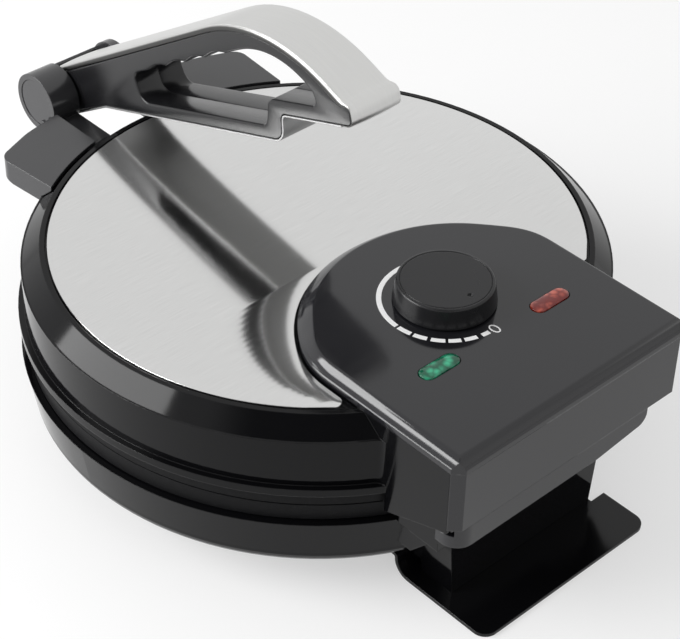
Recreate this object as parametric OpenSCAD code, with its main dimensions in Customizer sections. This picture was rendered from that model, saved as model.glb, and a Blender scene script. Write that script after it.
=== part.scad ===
// Electric roti maker: two heated plates in a hinged clamshell, pressed shut by a lever handle.
// The model stands on z = 0 with its rear, the side of the hinge and controls, towards +Y.
// Pieces are drawn about the axis of the cooking plates, and on_axis() then centres the whole in Y.

/* [Cooking plates] */
// Outer radius of both cooking plates, which sets the size of all the rest
plate_r = 142.5; // [138:0.5:148]
// Height of the parting plane between the two plates
parting_z = 60; // [56:0.5:66]
// Air gap between the closed plates
plate_gap = 0.6; // [0.4:0.1:1.2]
// Thickness of each plate's cooking face
plate_t = 3.5; // [3:0.25:5]
// Depth of a plate's side, from its cooking face to its seat
plate_side = 8.4; // [7:0.2:10]
// Width of the raised border around the dough recess
dough_border = 14.5; // [8:0.5:20]
// Depth of the dough recess in each plate
dough_depth = 0.8; // [0.4:0.1:1.6]
// Thickness of the plates' standing rim
plate_rim_t = 4; // [3:0.5:6]
// Mean radius of the ring heaters as a share of the plates' radius
heater_share = 0.6175; // [0.55:0.0025:0.65]
// Width of a heater's flattened tube
heater_w = 8; // [6:0.5:9]
// Height of a heater's flattened tube
heater_h = 7; // [5:0.5:8]
// Distance of the heat shields' edge inside the plates' edge
shield_inset = 30.5; // [26:0.5:36]
// Thickness of the heat shields
shield_t = 0.8; // [0.6:0.1:1.2]
// Distance from a plate's back to its heat shield
shield_gap = 15; // [13:0.5:17]

/* [Lid] */
// How far the lid's vertical band stands out from the plates
band_out = 0.5; // [0.5:0.1:2]
// How far the lid's lower flange and the base's rim stand out from the band
flange_out = 3; // [2.5:0.25:4]
// Thickness of the lid's lower flange
flange_h = 4; // [3:0.5:5]
// Height of the vertical band above its flange
band_h = 25; // [22:0.5:30]
// Height of the bevel above the band
bevel_h = 8.75; // [7:0.25:10]
// Width of the bevel across the lid
bevel_w = 9.5; // [8:0.25:10]
// Width of the rim between the bevel and the brushed steel disc
rim_w = 3.5; // [2.5:0.25:6]
// Thickness of the brushed steel disc
disc_t = 0.8; // [0.6:0.1:1.2]
// Width of the groove around the disc
disc_groove = 1; // [0.6:0.1:1.5]
// Wall thickness of the plastic mouldings
wall = 2.6; // [2:0.1:3]

/* [Base] */
// Height of the base's underside above the table
base_lift = 14; // [13:0.5:17]
// Width of the turned-up zone around the flat underside
belly_w = 34; // [28:0.5:38]
// Height at which the belly starts to turn under
belly_z = 30; // [28:0.5:33]
// How much the belly draws in from the rim to the turn
belly_draw = 3.4; // [2:0.2:5]
// Thickness of the bottom cover
cover_t = 2; // [1.5:0.25:3]
// Width of the underside's border around the bottom cover
cover_border = 3; // [2:0.25:5]
// Radius of a rubber foot
foot_r = 9; // [7:0.5:12]
// Distance of the rubber feet's middle inside the cover's edge
foot_inset = 19; // [14:1:26]

/* [Rear tower and stand] */
// Half width of the rear tower at the belly
tower_half_w = 49.5; // [46:0.5:52]
// Half width of the rear tower at its foot
tower_foot_half_w = 47; // [44:0.5:50]
// Distance of the tower's rear face behind the band
tower_back = 3; // [2:0.25:4]
// Depth of the tower from front to rear
tower_depth = 26.5; // [24:0.5:27]
// Height of the tower's top
tower_top_z = 46; // [43:0.5:46.5]
// Half width of the sheet metal stand
stand_half_w = 56; // [53:0.5:64]
// Reach of the stand's foot behind the tower
stand_reach = 30; // [19:1:44]
// Distance of the stand's upright in front of the tower
stand_wall_gap = 2.5; // [2.25:0.25:4]
// Sheet thickness of the stand
stand_t = 1.8; // [1.5:0.1:2.2]
// Outer radius of the stand's lower bend
stand_bend_r = 9; // [6:0.5:9.5]
// Corner radius of the stand's rear corners
stand_corner_r = 7; // [3:0.5:12]
// Width of the notch that lets the cord pass
notch_w = 9; // [6:0.5:9]
// Length of the notch that lets the cord pass
notch_len = 18; // [12:1:22]
// Distance of the notch behind the stand's upright
notch_back = 13; // [12:0.5:16]

/* [Control box] */
// Radius of the control panel's rounded front
panel_r = 77.3; // [76:0.1:79]
// Distance of the rounded front's centre inside the band
panel_inset = 41.6; // [40:0.1:44]
// Half width of the control panel
panel_half_w = 73.8; // [73:0.2:75]
// Distance of the panel's rear face behind the band
panel_reach = 26; // [25.5:0.25:28]
// Height of the panel's upright edge above the disc
panel_edge_h = 3; // [2:0.25:5]
// Height of the panel's sloping border
panel_bevel_h = 5.5; // [4:0.25:7]
// Width of the panel's sloping border
panel_bevel_w = 4; // [3:0.25:6]
// Width of the cut-off rear corners across the panel
corner_w = 4.5; // [3:0.25:6]
// Length of the cut-off rear corners along the panel
corner_l = 5; // [4:0.25:6]
// Depth of the cut-off corner strips below the disc
corner_drop = 33; // [28:0.5:34]
// Height of the rear flap's lower edge above the parting plane
flap_lift = 1; // [1:0.25:4]
// Half width of the rear flap
flap_half_w = 71.9; // [71.7:0.1:72.1]
// Corner radius of the rear flap
flap_corner_r = 9.5; // [8:0.25:10]
// Distance of the flap's far end from the middle, on the cord's side
flap_end_x = 52.6; // [50:0.2:55]
// Rise of the flap's lower edge at that far end
flap_end_rise = 4; // [2:0.5:6]
// Distance of the flap's side seam behind the hinge
seam_back = 5.8; // [5.6:0.1:7]
// Radius of the fillet between the band and the box
box_fillet_r = 5; // [3:0.5:7]

/* [Hinge] */
// Distance of the hinge axis behind the band
hinge_back = 7; // [6.5:0.25:8]
// Radius of a hinge pin
hinge_pin_r = 3; // [2.5:0.25:3.5]
// Radius of the hinge knuckles
knuckle_r = 7; // [6.25:0.25:7]
// Half width across the base's hinge housings
housing_half_w = 68.8; // [66:0.2:69]
// Inner half distance between the base's hinge housings
housing_in_half_w = 56; // [54:0.5:58]
// Width of the lid's hinge knuckles
lid_knuckle_w = 11.4; // [8:0.2:14]

/* [Knob and lamps] */
// Distance of the knob's axis in front of the panel's round centre
knob_front = 15.4; // [12:0.2:18]
// Radius of the knob at its skirt
knob_r = 24.2; // [20:0.1:25]
// Radius of the knob at its top edge
knob_top_r = 22.7; // [19:0.1:23.5]
// Height of the knob
knob_h = 11; // [9:0.5:16]
// Gap between the knob and the panel
knob_gap = 0.5; // [0.3:0.1:1]
// Radius of the control shaft
shaft_r = 3; // [2.5:0.25:3.5]
// Radius of the dial's printed ring
dial_r = 30.1; // [29:0.1:34]
// Distance of the lamps behind the knob's axis
lamp_back = 32.3; // [28:0.1:36]
// Half distance between the two lamps
lamp_half_x = 35.5; // [32:0.5:40]
// Length of a lamp's lens
lamp_len = 23; // [18:0.5:28]
// Width of a lamp's lens
lamp_w = 9; // [6:0.5:10]
// Height of a lamp's lens above the panel
lamp_rise = 1.2; // [0.6:0.1:2]

/* [Handle and bracket] */
// Distance of the handle's pivot in front of the band
pivot_out = 41.5; // [40:0.5:47]
// Depth of the handle's pivot below the disc
pivot_drop = 3; // [1:0.5:4]
// Radius of the bracket's barrel
barrel_r = 16; // [15.5:0.25:18]
// Wall of the barrel between its ends
barrel_wall = 1.6; // [1.2:0.1:1.8]
// Radius of the pivot pin
pivot_pin_r = 4; // [3:0.25:4.5]
// Half width of the handle's plastic sides
handle_half_w = 15; // [13:0.25:15.25]
// Gap on each side between the handle and the barrel's ends
handle_side_gap = 1.5; // [1.3:0.1:2]
// Length of the long barrel end
barrel_long = 16.5; // [12:0.5:18.5]
// Length of the short barrel end
barrel_short = 5; // [4:0.5:10]
// Slope of the handle's grip at rest
handle_tilt = 19.2; // [17:0.2:22]
// Slope of the handle's root above its grip
root_slope = 13.8; // [12:0.2:15]
// Radius of the handle's crest
crest_r = 90; // [70:1:95]
// Length of the handle from its pivot to its tip
handle_len = 240; // [236:1:250]
// Thickness of the handle's lower bar
grip_bar_h = 6.3; // [5:0.1:7]
// Thickness of the steel strap and trim
strap_t = 1; // [0.8:0.1:1.2]
// Depth of the finger scallops
scallop_depth = 1.5; // [0.5:0.1:2]
// Number of finger scallops
scallop_count = 4; // [3:1:5]
// Reach of the tongue's front edge beyond the band
tongue_reach = 25; // [19:1:29]
// Half width of the recess in the tongue
recess_half_w = 34; // [33:0.5:36]
// Thickness of the tongue at the lid
tongue_h = 12.5; // [10:0.5:14]
// Thickness of the tongue at its front edge
tongue_tip_h = 6; // [4:0.5:8]

/* [Hidden] */
$fn = 96;
eps = 0.01;

// Clearances
pin_play = 0.05;
slide_gap = 0.25;
seat_gap = 0.1;
rib_gap = 0.3;

// Fasteners
screw_r = 2;
screw_head_r = 4;
screw_head_h = 2.4;
boss_r = 5;
screw_bite = 12;
slot_half_w = 0.5;
nut_h = 3;

// Heights of the stack, from the table up
lower_top_z = parting_z - plate_gap / 2;
upper_bottom_z = parting_z + plate_gap / 2;
base_rim_z = lower_top_z - plate_side - 0.8;
flange_z = upper_bottom_z + plate_side - 0.7;
band_z = flange_z + flange_h;
bevel_z = band_z + band_h;
land_z = bevel_z + bevel_h;
disc_z = land_z + 0.25;
lower_back_z = lower_top_z - plate_t;
upper_back_z = upper_bottom_z + plate_t;
panel_edge_z = disc_z + panel_edge_h;
panel_z = panel_edge_z + panel_bevel_h;
cover_z = base_lift - cover_t;
pivot_z = disc_z - pivot_drop;

// Radii, all from the plates
dough_r = plate_r - dough_border;
heater_r = plate_r * heater_share;
shield_r = plate_r - shield_inset;
band_r = plate_r + band_out;
flange_r = band_r + flange_out;
bevel_top_r = band_r - bevel_w;
disc_r = bevel_top_r - rim_w;
base_flat_r = flange_r - belly_w;
cover_r = base_flat_r - cover_border;
foot_ring_r = cover_r - foot_inset;
tongue_r = band_r + tongue_reach;

// Places behind and in front of the plates' axis
tower_y = band_r + tower_back;
tower_front_y = tower_y - tower_depth;
stand_wall_y = tower_front_y - stand_wall_gap;
stand_rear_y = tower_y + stand_reach;
panel_y = band_r - panel_inset;
panel_rear_y = band_r + panel_reach;
hinge_y = band_r + hinge_back;
flap_seam_y = hinge_y + seam_back;
flap_z = parting_z + flap_lift;
strip_z = disc_z - corner_drop;
knob_y = panel_y - knob_front;
lamp_y = knob_y + lamp_back;
pivot_reach = band_r + pivot_out;

// Reaches of the whole, which set where its middle lies
front_reach = pivot_reach + barrel_r;
axis_y = (front_reach - stand_rear_y) / 2;

// Shared places
bevel_low_r = band_r - 0.8;
land_in_r = disc_r + disc_groove;
ledge_t = 2.4;
ledge_w = 6;
flange_lip = 9;
box_side_x = panel_half_w - 0.2;
box_in_x = box_side_x - wall;
box_rear_y = panel_rear_y - corner_l - slide_gap;
box_front_y = panel_y - 1.4;
housing_front_y = hinge_y - 28;
housing_top = 2;
housing_drop = parting_z - base_rim_z + 0.5;
floor_rear_y = hinge_y + 6;
lug_ring_r = plate_r - 13.5;
lug_in = 8;
lug_half_w = 8;
lug_t = 3;
lower_lug_z = lower_back_z - 25;
upper_lug_z = upper_back_z + 20;
post_ring_r = plate_r * 0.35;
fuse_ring_r = shield_r - 7;
panel_post_x = 34;
panel_post_y = hinge_y - 2;
panel_post_r = 4;
fixing_angles = [45, 135, 225, 315];
post_angles = [30, 150, 270];
foot_angles = [236, 304];
heater_gap_angle = 24;
heater_top_r = 5;
terminal_r = 2.5;
terminal_h = 4;
terminal_angles = [87 - heater_gap_angle / 2, 93 + heater_gap_angle / 2];
rib_h = 4;
rib_t = 1.7;
panel_rib_drop = 20;
chamfer = 0.8;

// Bottom cover's fixings and slots, counted in from its edge
cover_lug_in = 16;
cover_screw_in = 9;
cover_ledge_in = 5;
cover_lug_half_w = 7;
cover_lug_h = 8;
cover_bite = 6;
vent_in = 71;
vent_out = 47;
vent_half_w = 1.5;

// Hinge housings
housing_foot = 6;
housing_foot_h = 16;
housing_foot_l = 14;

// Cord's bush in the tower's side
gland_y = tower_y - 10;
gland_z = base_lift + 2;
gland_boss_r = 8;
gland_collar_r = 7;
gland_r = 5;
cord_bore_r = 3.4;
gland_face_x = -tower_half_w - 1.5;
gland_len = 8;

// Terminal block
terminal_pitch = 12;
block_half_l = 18;
block_front_y = 60;
block_w = 16;
block_h = 12;

// Thermal fuses
fuse_tube_r = 2.2;
fuse_len = 18;
fuse_lift = 2.5;
clip_half_w = 4;
clip_half_l = 3;
clip_h = 6;

// Thermostat and knob
neck_r = 5;
neck_rise = 2.4;
body_half_w = 17;
body_half_l = 15;
body_h = 18;
nut_r = 8;
dimple_r = 1.2;
dimple_depth = 0.4;
dimple_y = knob_y + knob_r * 0.64;

// Bracket's arms and the pads that they are screwed to
arm_h = 11;
pad_half_w = 6;
pad_depth = 7;
bracket_screw_x = 26;
barrel_wall_from = 148;
barrel_wall_to = 262;
lobe_half_w = 79;
lobe_corner_r = 8;
lobe_taper = 4;
washer_r = 11;
holder_half_l = lamp_len / 2 - 2;
holder_half_w = lamp_w / 2 + 1.5;
holder_h = 12;

// Handle outline in its own plane: u along the grip from the pivot, v square to it.
// Each point is [u, v, corner radius].
eye_r = barrel_r - barrel_wall - 1.2;
grip_v = -4.3;
window_v = grip_v + grip_bar_h;
tip_v = 9.3;
tip_h = 9.5;
step_u = handle_len - 53;
crest_u = handle_len - 51.1;
dip_u = handle_len - 9.5;
root_v = 9.2;
root_u = -3.2;
crest_v = root_v + (crest_u - root_u) * tan(root_slope);
dip_v = tip_v + 11.3;
body_top = [[root_u, root_v, 0], [crest_u, crest_v, crest_r], [dip_u, dip_v, 8],
            [handle_len - 0.8, tip_v + tip_h, 4], [handle_len - 1.3, tip_v, 3.5],
            [handle_len - 9, tip_v, 0]];
body_bottom = [[handle_len - 9, tip_v, 0], [step_u + 1.4, tip_v, 3], [step_u - 2, grip_v, 8],
               [37, grip_v, 8], [3, 0.95 - eye_r, 0]];
strap_rise = 3.6;
strap_outer = [[root_u + 2, root_v + strap_rise + 0.7, 0],
               [crest_u + 0.5, crest_v + strap_rise, crest_r + 3],
               [dip_u + 4.2, dip_v + 0.2, 5], [handle_len + 0.3, tip_v + tip_h + 0.9, 5],
               [handle_len - 0.2, tip_v - strap_t, 4.5], [handle_len - 9, tip_v - strap_t, 0]];
window_slope = root_slope - 1;
window_u = 71.5;
window_rise = 14.9;
window_peak_u = crest_u + 3.3;
window_peak_v = window_v + window_rise + (window_peak_u - window_u) * tan(window_slope);
window_end_u = handle_len - 25;
scallop_from = 86;
scallop_to = 155;
window_low = [[window_u, window_v + window_rise, 6], [window_u + 2, window_v, 7],
              [step_u - 12.5, window_v, 5], [step_u - 6.5, tip_v + 6.8, 5],
              [window_end_u + 1.5, tip_v + 6.8, 3.5], [window_end_u, tip_v + 14.5, 3],
              [window_peak_u, window_peak_v, 55]];

// Largest share of a leg that one fillet may take up
leg_share = 0.86;

// Turn of a path at b, from a through b to c
function bend(a, b, c) = let (d1 = b - a, d2 = c - b) atan2(d1.x * d2.y - d1.y * d2.x, d1 * d2);
function unit(d) = d / norm(d);
function flat(p) = [p.x, p.y];

// Points of the rounded corner at b; the fillet is limited by the legs beside it
function corner(a, b, c, r) =
    let (t = bend(a, b, c), half = abs(t) / 2,
         leg = min(r * tan(half), leg_share * norm(b - a), leg_share * norm(c - b)),
         rr = half < 0.5 ? 0 : leg / tan(half),
         d1 = unit(b - a), side = t > 0 ? 1 : -1,
         centre = b - d1 * leg + side * rr * [-d1.y, d1.x],
         n = max(2, ceil(abs(t) / 7)), start = atan2(d1.y, d1.x) - side * 90)
    rr < 0.05 ? [b] : [for (i = [0:n]) centre + rr * [cos(start + t * i / n), sin(start + t * i / n)]];

// Rounded open path through corner points [x, y, r]
function rounded(p) = let (n = len(p))
    [for (i = [0:n - 1]) each (i == 0 || i == n - 1) ? [flat(p[i])]
        : corner(flat(p[i - 1]), flat(p[i]), flat(p[i + 1]), p[i].z)];

// Rounded closed path through corner points [x, y, r]
function rounded_loop(p) = let (n = len(p))
    [for (i = [0:n - 1]) each corner(flat(p[(i + n - 1) % n]), flat(p[i]), flat(p[(i + 1) % n]), p[i].z)];

function backwards(p) = [for (i = [len(p) - 1:-1:0]) p[i]];

// Corner points of an open path moved by d to its right-hand side
function beside(p, d) = let (n = len(p))
    [for (i = [0:n - 1])
        let (d1 = unit(flat(p[max(i, 1)]) - flat(p[max(i, 1) - 1])),
             d2 = unit(flat(p[min(i, n - 2) + 1]) - flat(p[min(i, n - 2)])),
             n1 = [d1.y, -d1.x], n2 = [d2.y, -d2.x], m = (n1 + n2) / (1 + n1 * n2),
             turn = d1.x * d2.y - d1.y * d2.x,
             q = flat(p[i]) + d * m)
        [q.x, q.y, p[i].z == 0 ? 0 : max(0.3, p[i].z + (turn > 0 ? d : -d))]];

module on_axis() { translate([0, axis_y, 0]) children(); }
module both_sides() { children(); mirror([1, 0, 0]) children(); }
module around(angles, r) { for (a = angles) rotate([0, 0, a]) translate([r, 0, 0]) children(); }

// Extrudes a drawing of (y, z) points along X, from x0 to x1
module along_x(x0, x1) { translate([x0, 0, 0]) rotate([90, 0, 90]) linear_extrude(x1 - x0) children(); }
// Extrudes a drawing of (x, z) points along Y, from y0 to y1
module along_y(y0, y1) { translate([0, y1, 0]) rotate([90, 0, 0]) linear_extrude(y1 - y0) children(); }
module rod_x(r, x0, x1) { translate([x0, 0, 0]) rotate([0, 90, 0]) cylinder(r = r, h = x1 - x0); }
module block(x0, x1, y0, y1, z0, z1) { translate([x0, y0, z0]) cube([x1 - x0, y1 - y0, z1 - z0]); }
module disc(r, z0, z1) { translate([0, 0, z0]) cylinder(r = r, h = z1 - z0, $fn = 180); }
module pipe(r, r_in, z0, z1) {
    difference() {
        disc(r, z0, z1);
        disc(r_in, z0 - 1, z1 + 1);
    }
}

// Pan head screw along Z, its head's seat at z = 0 and its shank pointing up
module screw_up(grip) {
    translate([0, 0, -screw_head_h]) cylinder(r = screw_head_r, h = screw_head_h, $fn = 32);
    translate([0, 0, -eps]) cylinder(r = screw_r, h = grip + screw_bite, $fn = 32);
}
module screw_down(grip) { mirror([0, 0, 1]) screw_up(grip); }
module bore(r, z0, z1) { translate([0, 0, z0]) cylinder(r = r, h = z1 - z0, $fn = 32); }
module screw_hole(z0, z1) { bore(screw_r + slide_gap, z0, z1); }
module screw_pilot(z0, z1) { bore(screw_r + seat_gap, z0, z1); }

// Base

function belly(inset) = [for (i = [0:12]) let (a = 90 - 7.5 * i)
    [base_flat_r + (flange_r - belly_draw - base_flat_r - inset) * cos(a),
     belly_z - (belly_z - base_lift - inset) * sin(a)]];

module bowl(inset, top) {
    rotate_extrude($fn = 180)
        polygon(concat([[0, base_lift + inset]], belly(inset), [[flange_r - inset, top], [0, top]]));
}

module tower_plan(inset, z_low, z_top) {
    polygon([[-tower_foot_half_w + inset, z_low], [tower_foot_half_w - inset, z_low],
             [tower_half_w - inset, belly_z], [tower_half_w - inset, z_top],
             [-tower_half_w + inset, z_top], [-tower_half_w + inset, belly_z]]);
}

// Rear tower, drawn in by inset; its foot steps back behind the bend of the stand
module tower(inset) {
    difference() {
        along_y(tower_front_y + inset, tower_y - inset)
            tower_plan(inset, stand_t + inset, tower_top_z - inset);
        block(-stand_half_w, stand_half_w, 0, stand_wall_y + stand_bend_r + seat_gap + inset,
              0, stand_bend_r + seat_gap + inset);
    }
}

module hinge_housing() {
    difference() {
        union() {
            block(housing_in_half_w, housing_half_w, housing_front_y, hinge_y + 5,
                  parting_z - housing_drop, parting_z + housing_top);
            along_x(housing_in_half_w, housing_half_w - 3)
                polygon([[housing_front_y - housing_foot, base_rim_z - housing_foot_h],
                         [housing_front_y + housing_foot_l, base_rim_z - housing_foot_h],
                         [hinge_y, base_rim_z + eps], [housing_front_y - housing_foot, base_rim_z + eps]]);
            translate([0, hinge_y, parting_z]) rod_x(knuckle_r, housing_in_half_w, housing_half_w);
        }
        disc(flange_r + 1.5, base_rim_z, parting_z + 20);
    }
}

module base_shell() {
    color("#1b1b1d") on_axis() difference() {
        union() {
            difference() {
                union() {
                    bowl(0, base_rim_z);
                    tower(0);
                    both_sides() hinge_housing();
                    translate([0, gland_y, gland_z])
                        rod_x(gland_boss_r, gland_face_x, gland_face_x + gland_len - 0.5);
                }
                bowl(wall, base_rim_z - wall);
                tower(wall);
                disc(flange_r - flange_lip, base_rim_z - wall - 1, base_rim_z + 1);
                disc(cover_r - cover_ledge_in, base_lift - 1, base_lift + wall + 1);
            }
            around(fixing_angles, 0) block(lug_ring_r - lug_in, flange_r - belly_draw - wall / 2,
                                           -lug_half_w, lug_half_w, lower_lug_z - lug_t, lower_lug_z);
            around(fixing_angles, 0)
                block(cover_r - cover_lug_in, cover_r, -cover_lug_half_w, cover_lug_half_w,
                      base_lift, base_lift + cover_lug_h);
        }
        around(fixing_angles, lug_ring_r) screw_hole(lower_lug_z - 5, lower_lug_z + 5);
        around(fixing_angles, cover_r - cover_screw_in)
            screw_pilot(base_lift - 1, base_lift + cover_lug_h - 1);
        both_sides() translate([0, hinge_y, parting_z])
            rod_x(hinge_pin_r + eps, housing_in_half_w - 1, housing_half_w - 3);
        translate([0, gland_y, gland_z])
            rod_x(gland_r + seat_gap, gland_face_x - 2, gland_face_x + gland_len + 1.5);
    }
}

module cord_gland() {
    face_x = gland_face_x;
    color("#151515") on_axis() translate([0, gland_y, gland_z]) difference() {
        union() {
            rod_x(gland_r, face_x - eps, face_x + gland_len);
            rod_x(gland_collar_r, face_x - 1.5, face_x);
        }
        rod_x(cord_bore_r, face_x - 3, face_x + gland_len + 2);
    }
}

module base_cover() {
    color("#242426") on_axis() difference() {
        disc(cover_r, cover_z, base_lift);
        around(fixing_angles, cover_r - cover_screw_in) screw_hole(cover_z - 1, base_lift + 1);
        both_sides() stand_holes() screw_hole(cover_z - 1, base_lift + 1);
        for (a = [0:30:330]) rotate([0, 0, a + 15])
            block(cover_r - vent_in, cover_r - vent_out, -vent_half_w, vent_half_w,
                  cover_z - 1, base_lift + 1);
    }
}

module base_cover_screws() {
    color("#8a8d90") on_axis() around(fixing_angles, cover_r - cover_screw_in) difference() {
        translate([0, 0, cover_z]) union() {
            translate([0, 0, -screw_head_h]) cylinder(r = screw_head_r, h = screw_head_h, $fn = 32);
            cylinder(r = screw_r, h = cover_t + cover_bite, $fn = 32);
        }
        block(-screw_head_r + 1, screw_head_r - 1, -slot_half_w, slot_half_w,
              cover_z - screw_head_h - 1, cover_z - screw_head_h + 1);
    }
}

module rubber_feet() {
    color("#101010") on_axis() around(foot_angles, foot_ring_r) {
        cylinder(r1 = foot_r - 1, r2 = foot_r, h = 2, $fn = 48);
        translate([0, 0, 2 - eps]) cylinder(r = foot_r, h = cover_z - 2 + eps, $fn = 48);
    }
}

module terminal_block() {
    color("#c9c6b8") on_axis() difference() {
        block(-block_half_l, block_half_l, block_front_y, block_front_y + block_w,
              base_lift, base_lift + block_h);
        for (x = [-1:1]) translate([x * terminal_pitch, block_front_y, base_lift]) {
            translate([0, -4, 7]) rotate([-90, 0, 0]) cylinder(r = 2.2, h = block_w + 8, $fn = 24);
            translate([0, block_w / 2, 8]) cylinder(r = 1.8, h = 6, $fn = 24);
        }
    }
}

// Heated plates, drawn with their cooking face down at z = 0 and their back up

module plate_body(rim_h) {
    difference() {
        union() {
            disc(plate_r, 0, plate_t);
            pipe(plate_r, plate_r - plate_rim_t, plate_t - eps, rim_h - 0.8);
            pipe(plate_r - 1, plate_r - plate_rim_t, rim_h - 0.8 - eps, rim_h);
            for (r = [heater_r + heater_w / 2 + rib_gap + rib_t, heater_r - heater_w / 2 - rib_gap])
                pipe(r, r - rib_t, plate_t - eps, plate_t + rib_h);
            around(post_angles, post_ring_r) disc(boss_r, plate_t - eps, plate_t + shield_gap);
        }
        disc(dough_r, -1, dough_depth);
        around(post_angles, post_ring_r)
            screw_pilot(plate_t + shield_gap - screw_bite, plate_t + shield_gap + 1);
    }
}

module plate_bosses(h) {
    around(fixing_angles, lug_ring_r) difference() {
        disc(boss_r, plate_t - eps, plate_t + h);
        screw_pilot(plate_t + h - screw_bite, plate_t + h + 1);
    }
}

module lower_plate() {
    color("#2a2a2c") on_axis() translate([0, 0, lower_top_z]) mirror([0, 0, 1]) {
        plate_body(lower_top_z - base_rim_z);
        plate_bosses(lower_back_z - lower_lug_z);
    }
}

module upper_plate() {
    color("#2a2a2c") on_axis() translate([0, 0, upper_bottom_z]) {
        plate_body(flange_z - upper_bottom_z);
        plate_bosses(upper_lug_z - upper_back_z);
    }
}

// Ring heater on a plate's back, its flat side on the plate at z = 0 and its two ends turned up
module heater() {
    gap = heater_gap_angle;
    rotate([0, 0, 90 + gap / 2]) rotate_extrude(angle = 360 - gap, $fn = 96) intersection() {
        translate([heater_r - heater_w / 2, 0]) square([heater_w, heater_h]);
        translate([heater_r, heater_h - heater_top_r]) circle(r = heater_top_r, $fn = 64);
    }
    for (a = terminal_angles) rotate([0, 0, a]) translate([heater_r, 0, heater_h / 2])
        cylinder(r = terminal_r, h = shield_gap + terminal_h, $fn = 32);
}

module shield() {
    difference() {
        disc(shield_r, 0, shield_t);
        around(post_angles, post_ring_r) screw_hole(-1, shield_t + 1);
        for (a = terminal_angles) rotate([0, 0, a])
            translate([heater_r, 0, -1]) cylinder(r = heater_w / 2 + 1.5, h = shield_t + 2, $fn = 32);
    }
}

module lower_heater() {
    color("#6f6a64") on_axis() translate([0, 0, lower_back_z]) mirror([0, 0, 1]) heater();
}
module upper_heater() { color("#6f6a64") on_axis() translate([0, 0, upper_back_z]) heater(); }
module lower_heat_shield() {
    color("#b9bcc0") on_axis() translate([0, 0, lower_back_z - shield_gap]) mirror([0, 0, 1]) shield();
}
module upper_heat_shield() {
    color("#b9bcc0") on_axis() translate([0, 0, upper_back_z + shield_gap]) shield();
}

// A shield screw bites half of its usual depth into its post
module shield_screw() {
    cylinder(r = screw_head_r, h = screw_head_h, $fn = 32);
    translate([0, 0, -shield_t - screw_bite / 2]) cylinder(r = screw_r, h = shield_t + screw_bite / 2 + eps,
                                                           $fn = 32);
}
module lower_shield_screws() {
    color("#8a8d90") on_axis() translate([0, 0, lower_back_z - shield_gap - shield_t]) mirror([0, 0, 1])
        around(post_angles, post_ring_r) shield_screw();
}
module upper_shield_screws() {
    color("#8a8d90") on_axis() translate([0, 0, upper_back_z + shield_gap + shield_t])
        around(post_angles, post_ring_r) shield_screw();
}

// A thermal fuse in its sleeve lies on the plate's back beside the heater, under a saddle clip
module fuse_tube(r) {
    translate([0, fuse_len / 2, fuse_lift]) rotate([90, 0, 0]) cylinder(r = r, h = fuse_len, $fn = 32);
}
module fuse() {
    translate([-fuse_ring_r, 0, 0]) {
        fuse_tube(fuse_tube_r);
        difference() {
            block(-clip_half_w, clip_half_w, -clip_half_l, clip_half_l, 0, clip_h);
            fuse_tube(fuse_tube_r - seat_gap);
        }
    }
}
module lower_thermal_fuse() {
    color("#d8d2c4") on_axis() translate([0, 0, lower_back_z]) mirror([0, 0, 1]) fuse();
}
module upper_thermal_fuse() { color("#d8d2c4") on_axis() translate([0, 0, upper_back_z]) fuse(); }

module base_plate_screws() {
    color("#8a8d90") on_axis() around(fixing_angles, lug_ring_r)
        translate([0, 0, lower_lug_z - lug_t]) screw_up(lug_t - 2);
}
module lid_plate_screws() {
    color("#8a8d90") on_axis() around(fixing_angles, lug_ring_r)
        translate([0, 0, upper_lug_z + lug_t]) screw_down(lug_t - 2);
}

// Rear stand: one bent sheet that carries the tower and is screwed under the base

function arc(cx, cy, r, a0, a1, n) = [for (i = [0:n]) let (a = a0 + (a1 - a0) * i / n)
    [cx + r * cos(a), cy + r * sin(a)]];

module stand_holes() { for (x = [22, 40]) translate([x, stand_wall_y - 27, 0]) children(); }

module rear_stand() {
    low_r = stand_bend_r;
    top_r = min(3.5, (cover_z - stand_bend_r) * 0.9);
    wy = stand_wall_y;
    flange_front = wy - 34;
    color("#141415") on_axis() difference() {
        along_x(-stand_half_w, stand_half_w) polygon(concat(
            [[stand_rear_y, 0]], arc(wy + low_r, low_r, low_r, 270, 180, 8),
            arc(wy - top_r + stand_t, cover_z - top_r, max(top_r - stand_t, 0.4), 0, 90, 4),
            [[flange_front, cover_z - stand_t], [flange_front, cover_z]],
            arc(wy - top_r + stand_t, cover_z - top_r, top_r, 90, 0, 4),
            arc(wy + low_r, low_r, low_r - stand_t, 180, 270, 8), [[stand_rear_y, stand_t]]));
        both_sides() stand_holes() screw_hole(cover_z - 5, cover_z + 2);
        both_sides() translate([stand_half_w - stand_corner_r, stand_rear_y - stand_corner_r, 0])
            difference() {
                block(0, stand_corner_r + 1, 0, stand_corner_r + 1, -1, stand_t + 1);
                disc(stand_corner_r, -2, stand_t + 2);
            }
        block(-stand_half_w - 1, -stand_half_w + notch_w, wy + notch_back, wy + notch_back + notch_len,
              -1, stand_t + 1);
    }
}

module stand_screws() {
    color("#8a8d90") on_axis() both_sides() stand_holes() translate([0, 0, cover_z - stand_t]) {
        translate([0, 0, -screw_head_h]) cylinder(r = screw_head_r, h = screw_head_h, $fn = 32);
        translate([0, 0, -eps]) cylinder(r = screw_r, h = stand_t + cover_t + 4, $fn = 32);
        translate([0, 0, stand_t + cover_t]) cylinder(r = screw_head_r, h = nut_h, $fn = 6);
    }
}

module hinge_pins() {
    color("#9a9da1") on_axis() both_sides() translate([0, hinge_y, parting_z])
        rod_x(hinge_pin_r, housing_in_half_w - lid_knuckle_w - 1, housing_half_w - 3.2);
}

// Lid

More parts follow.
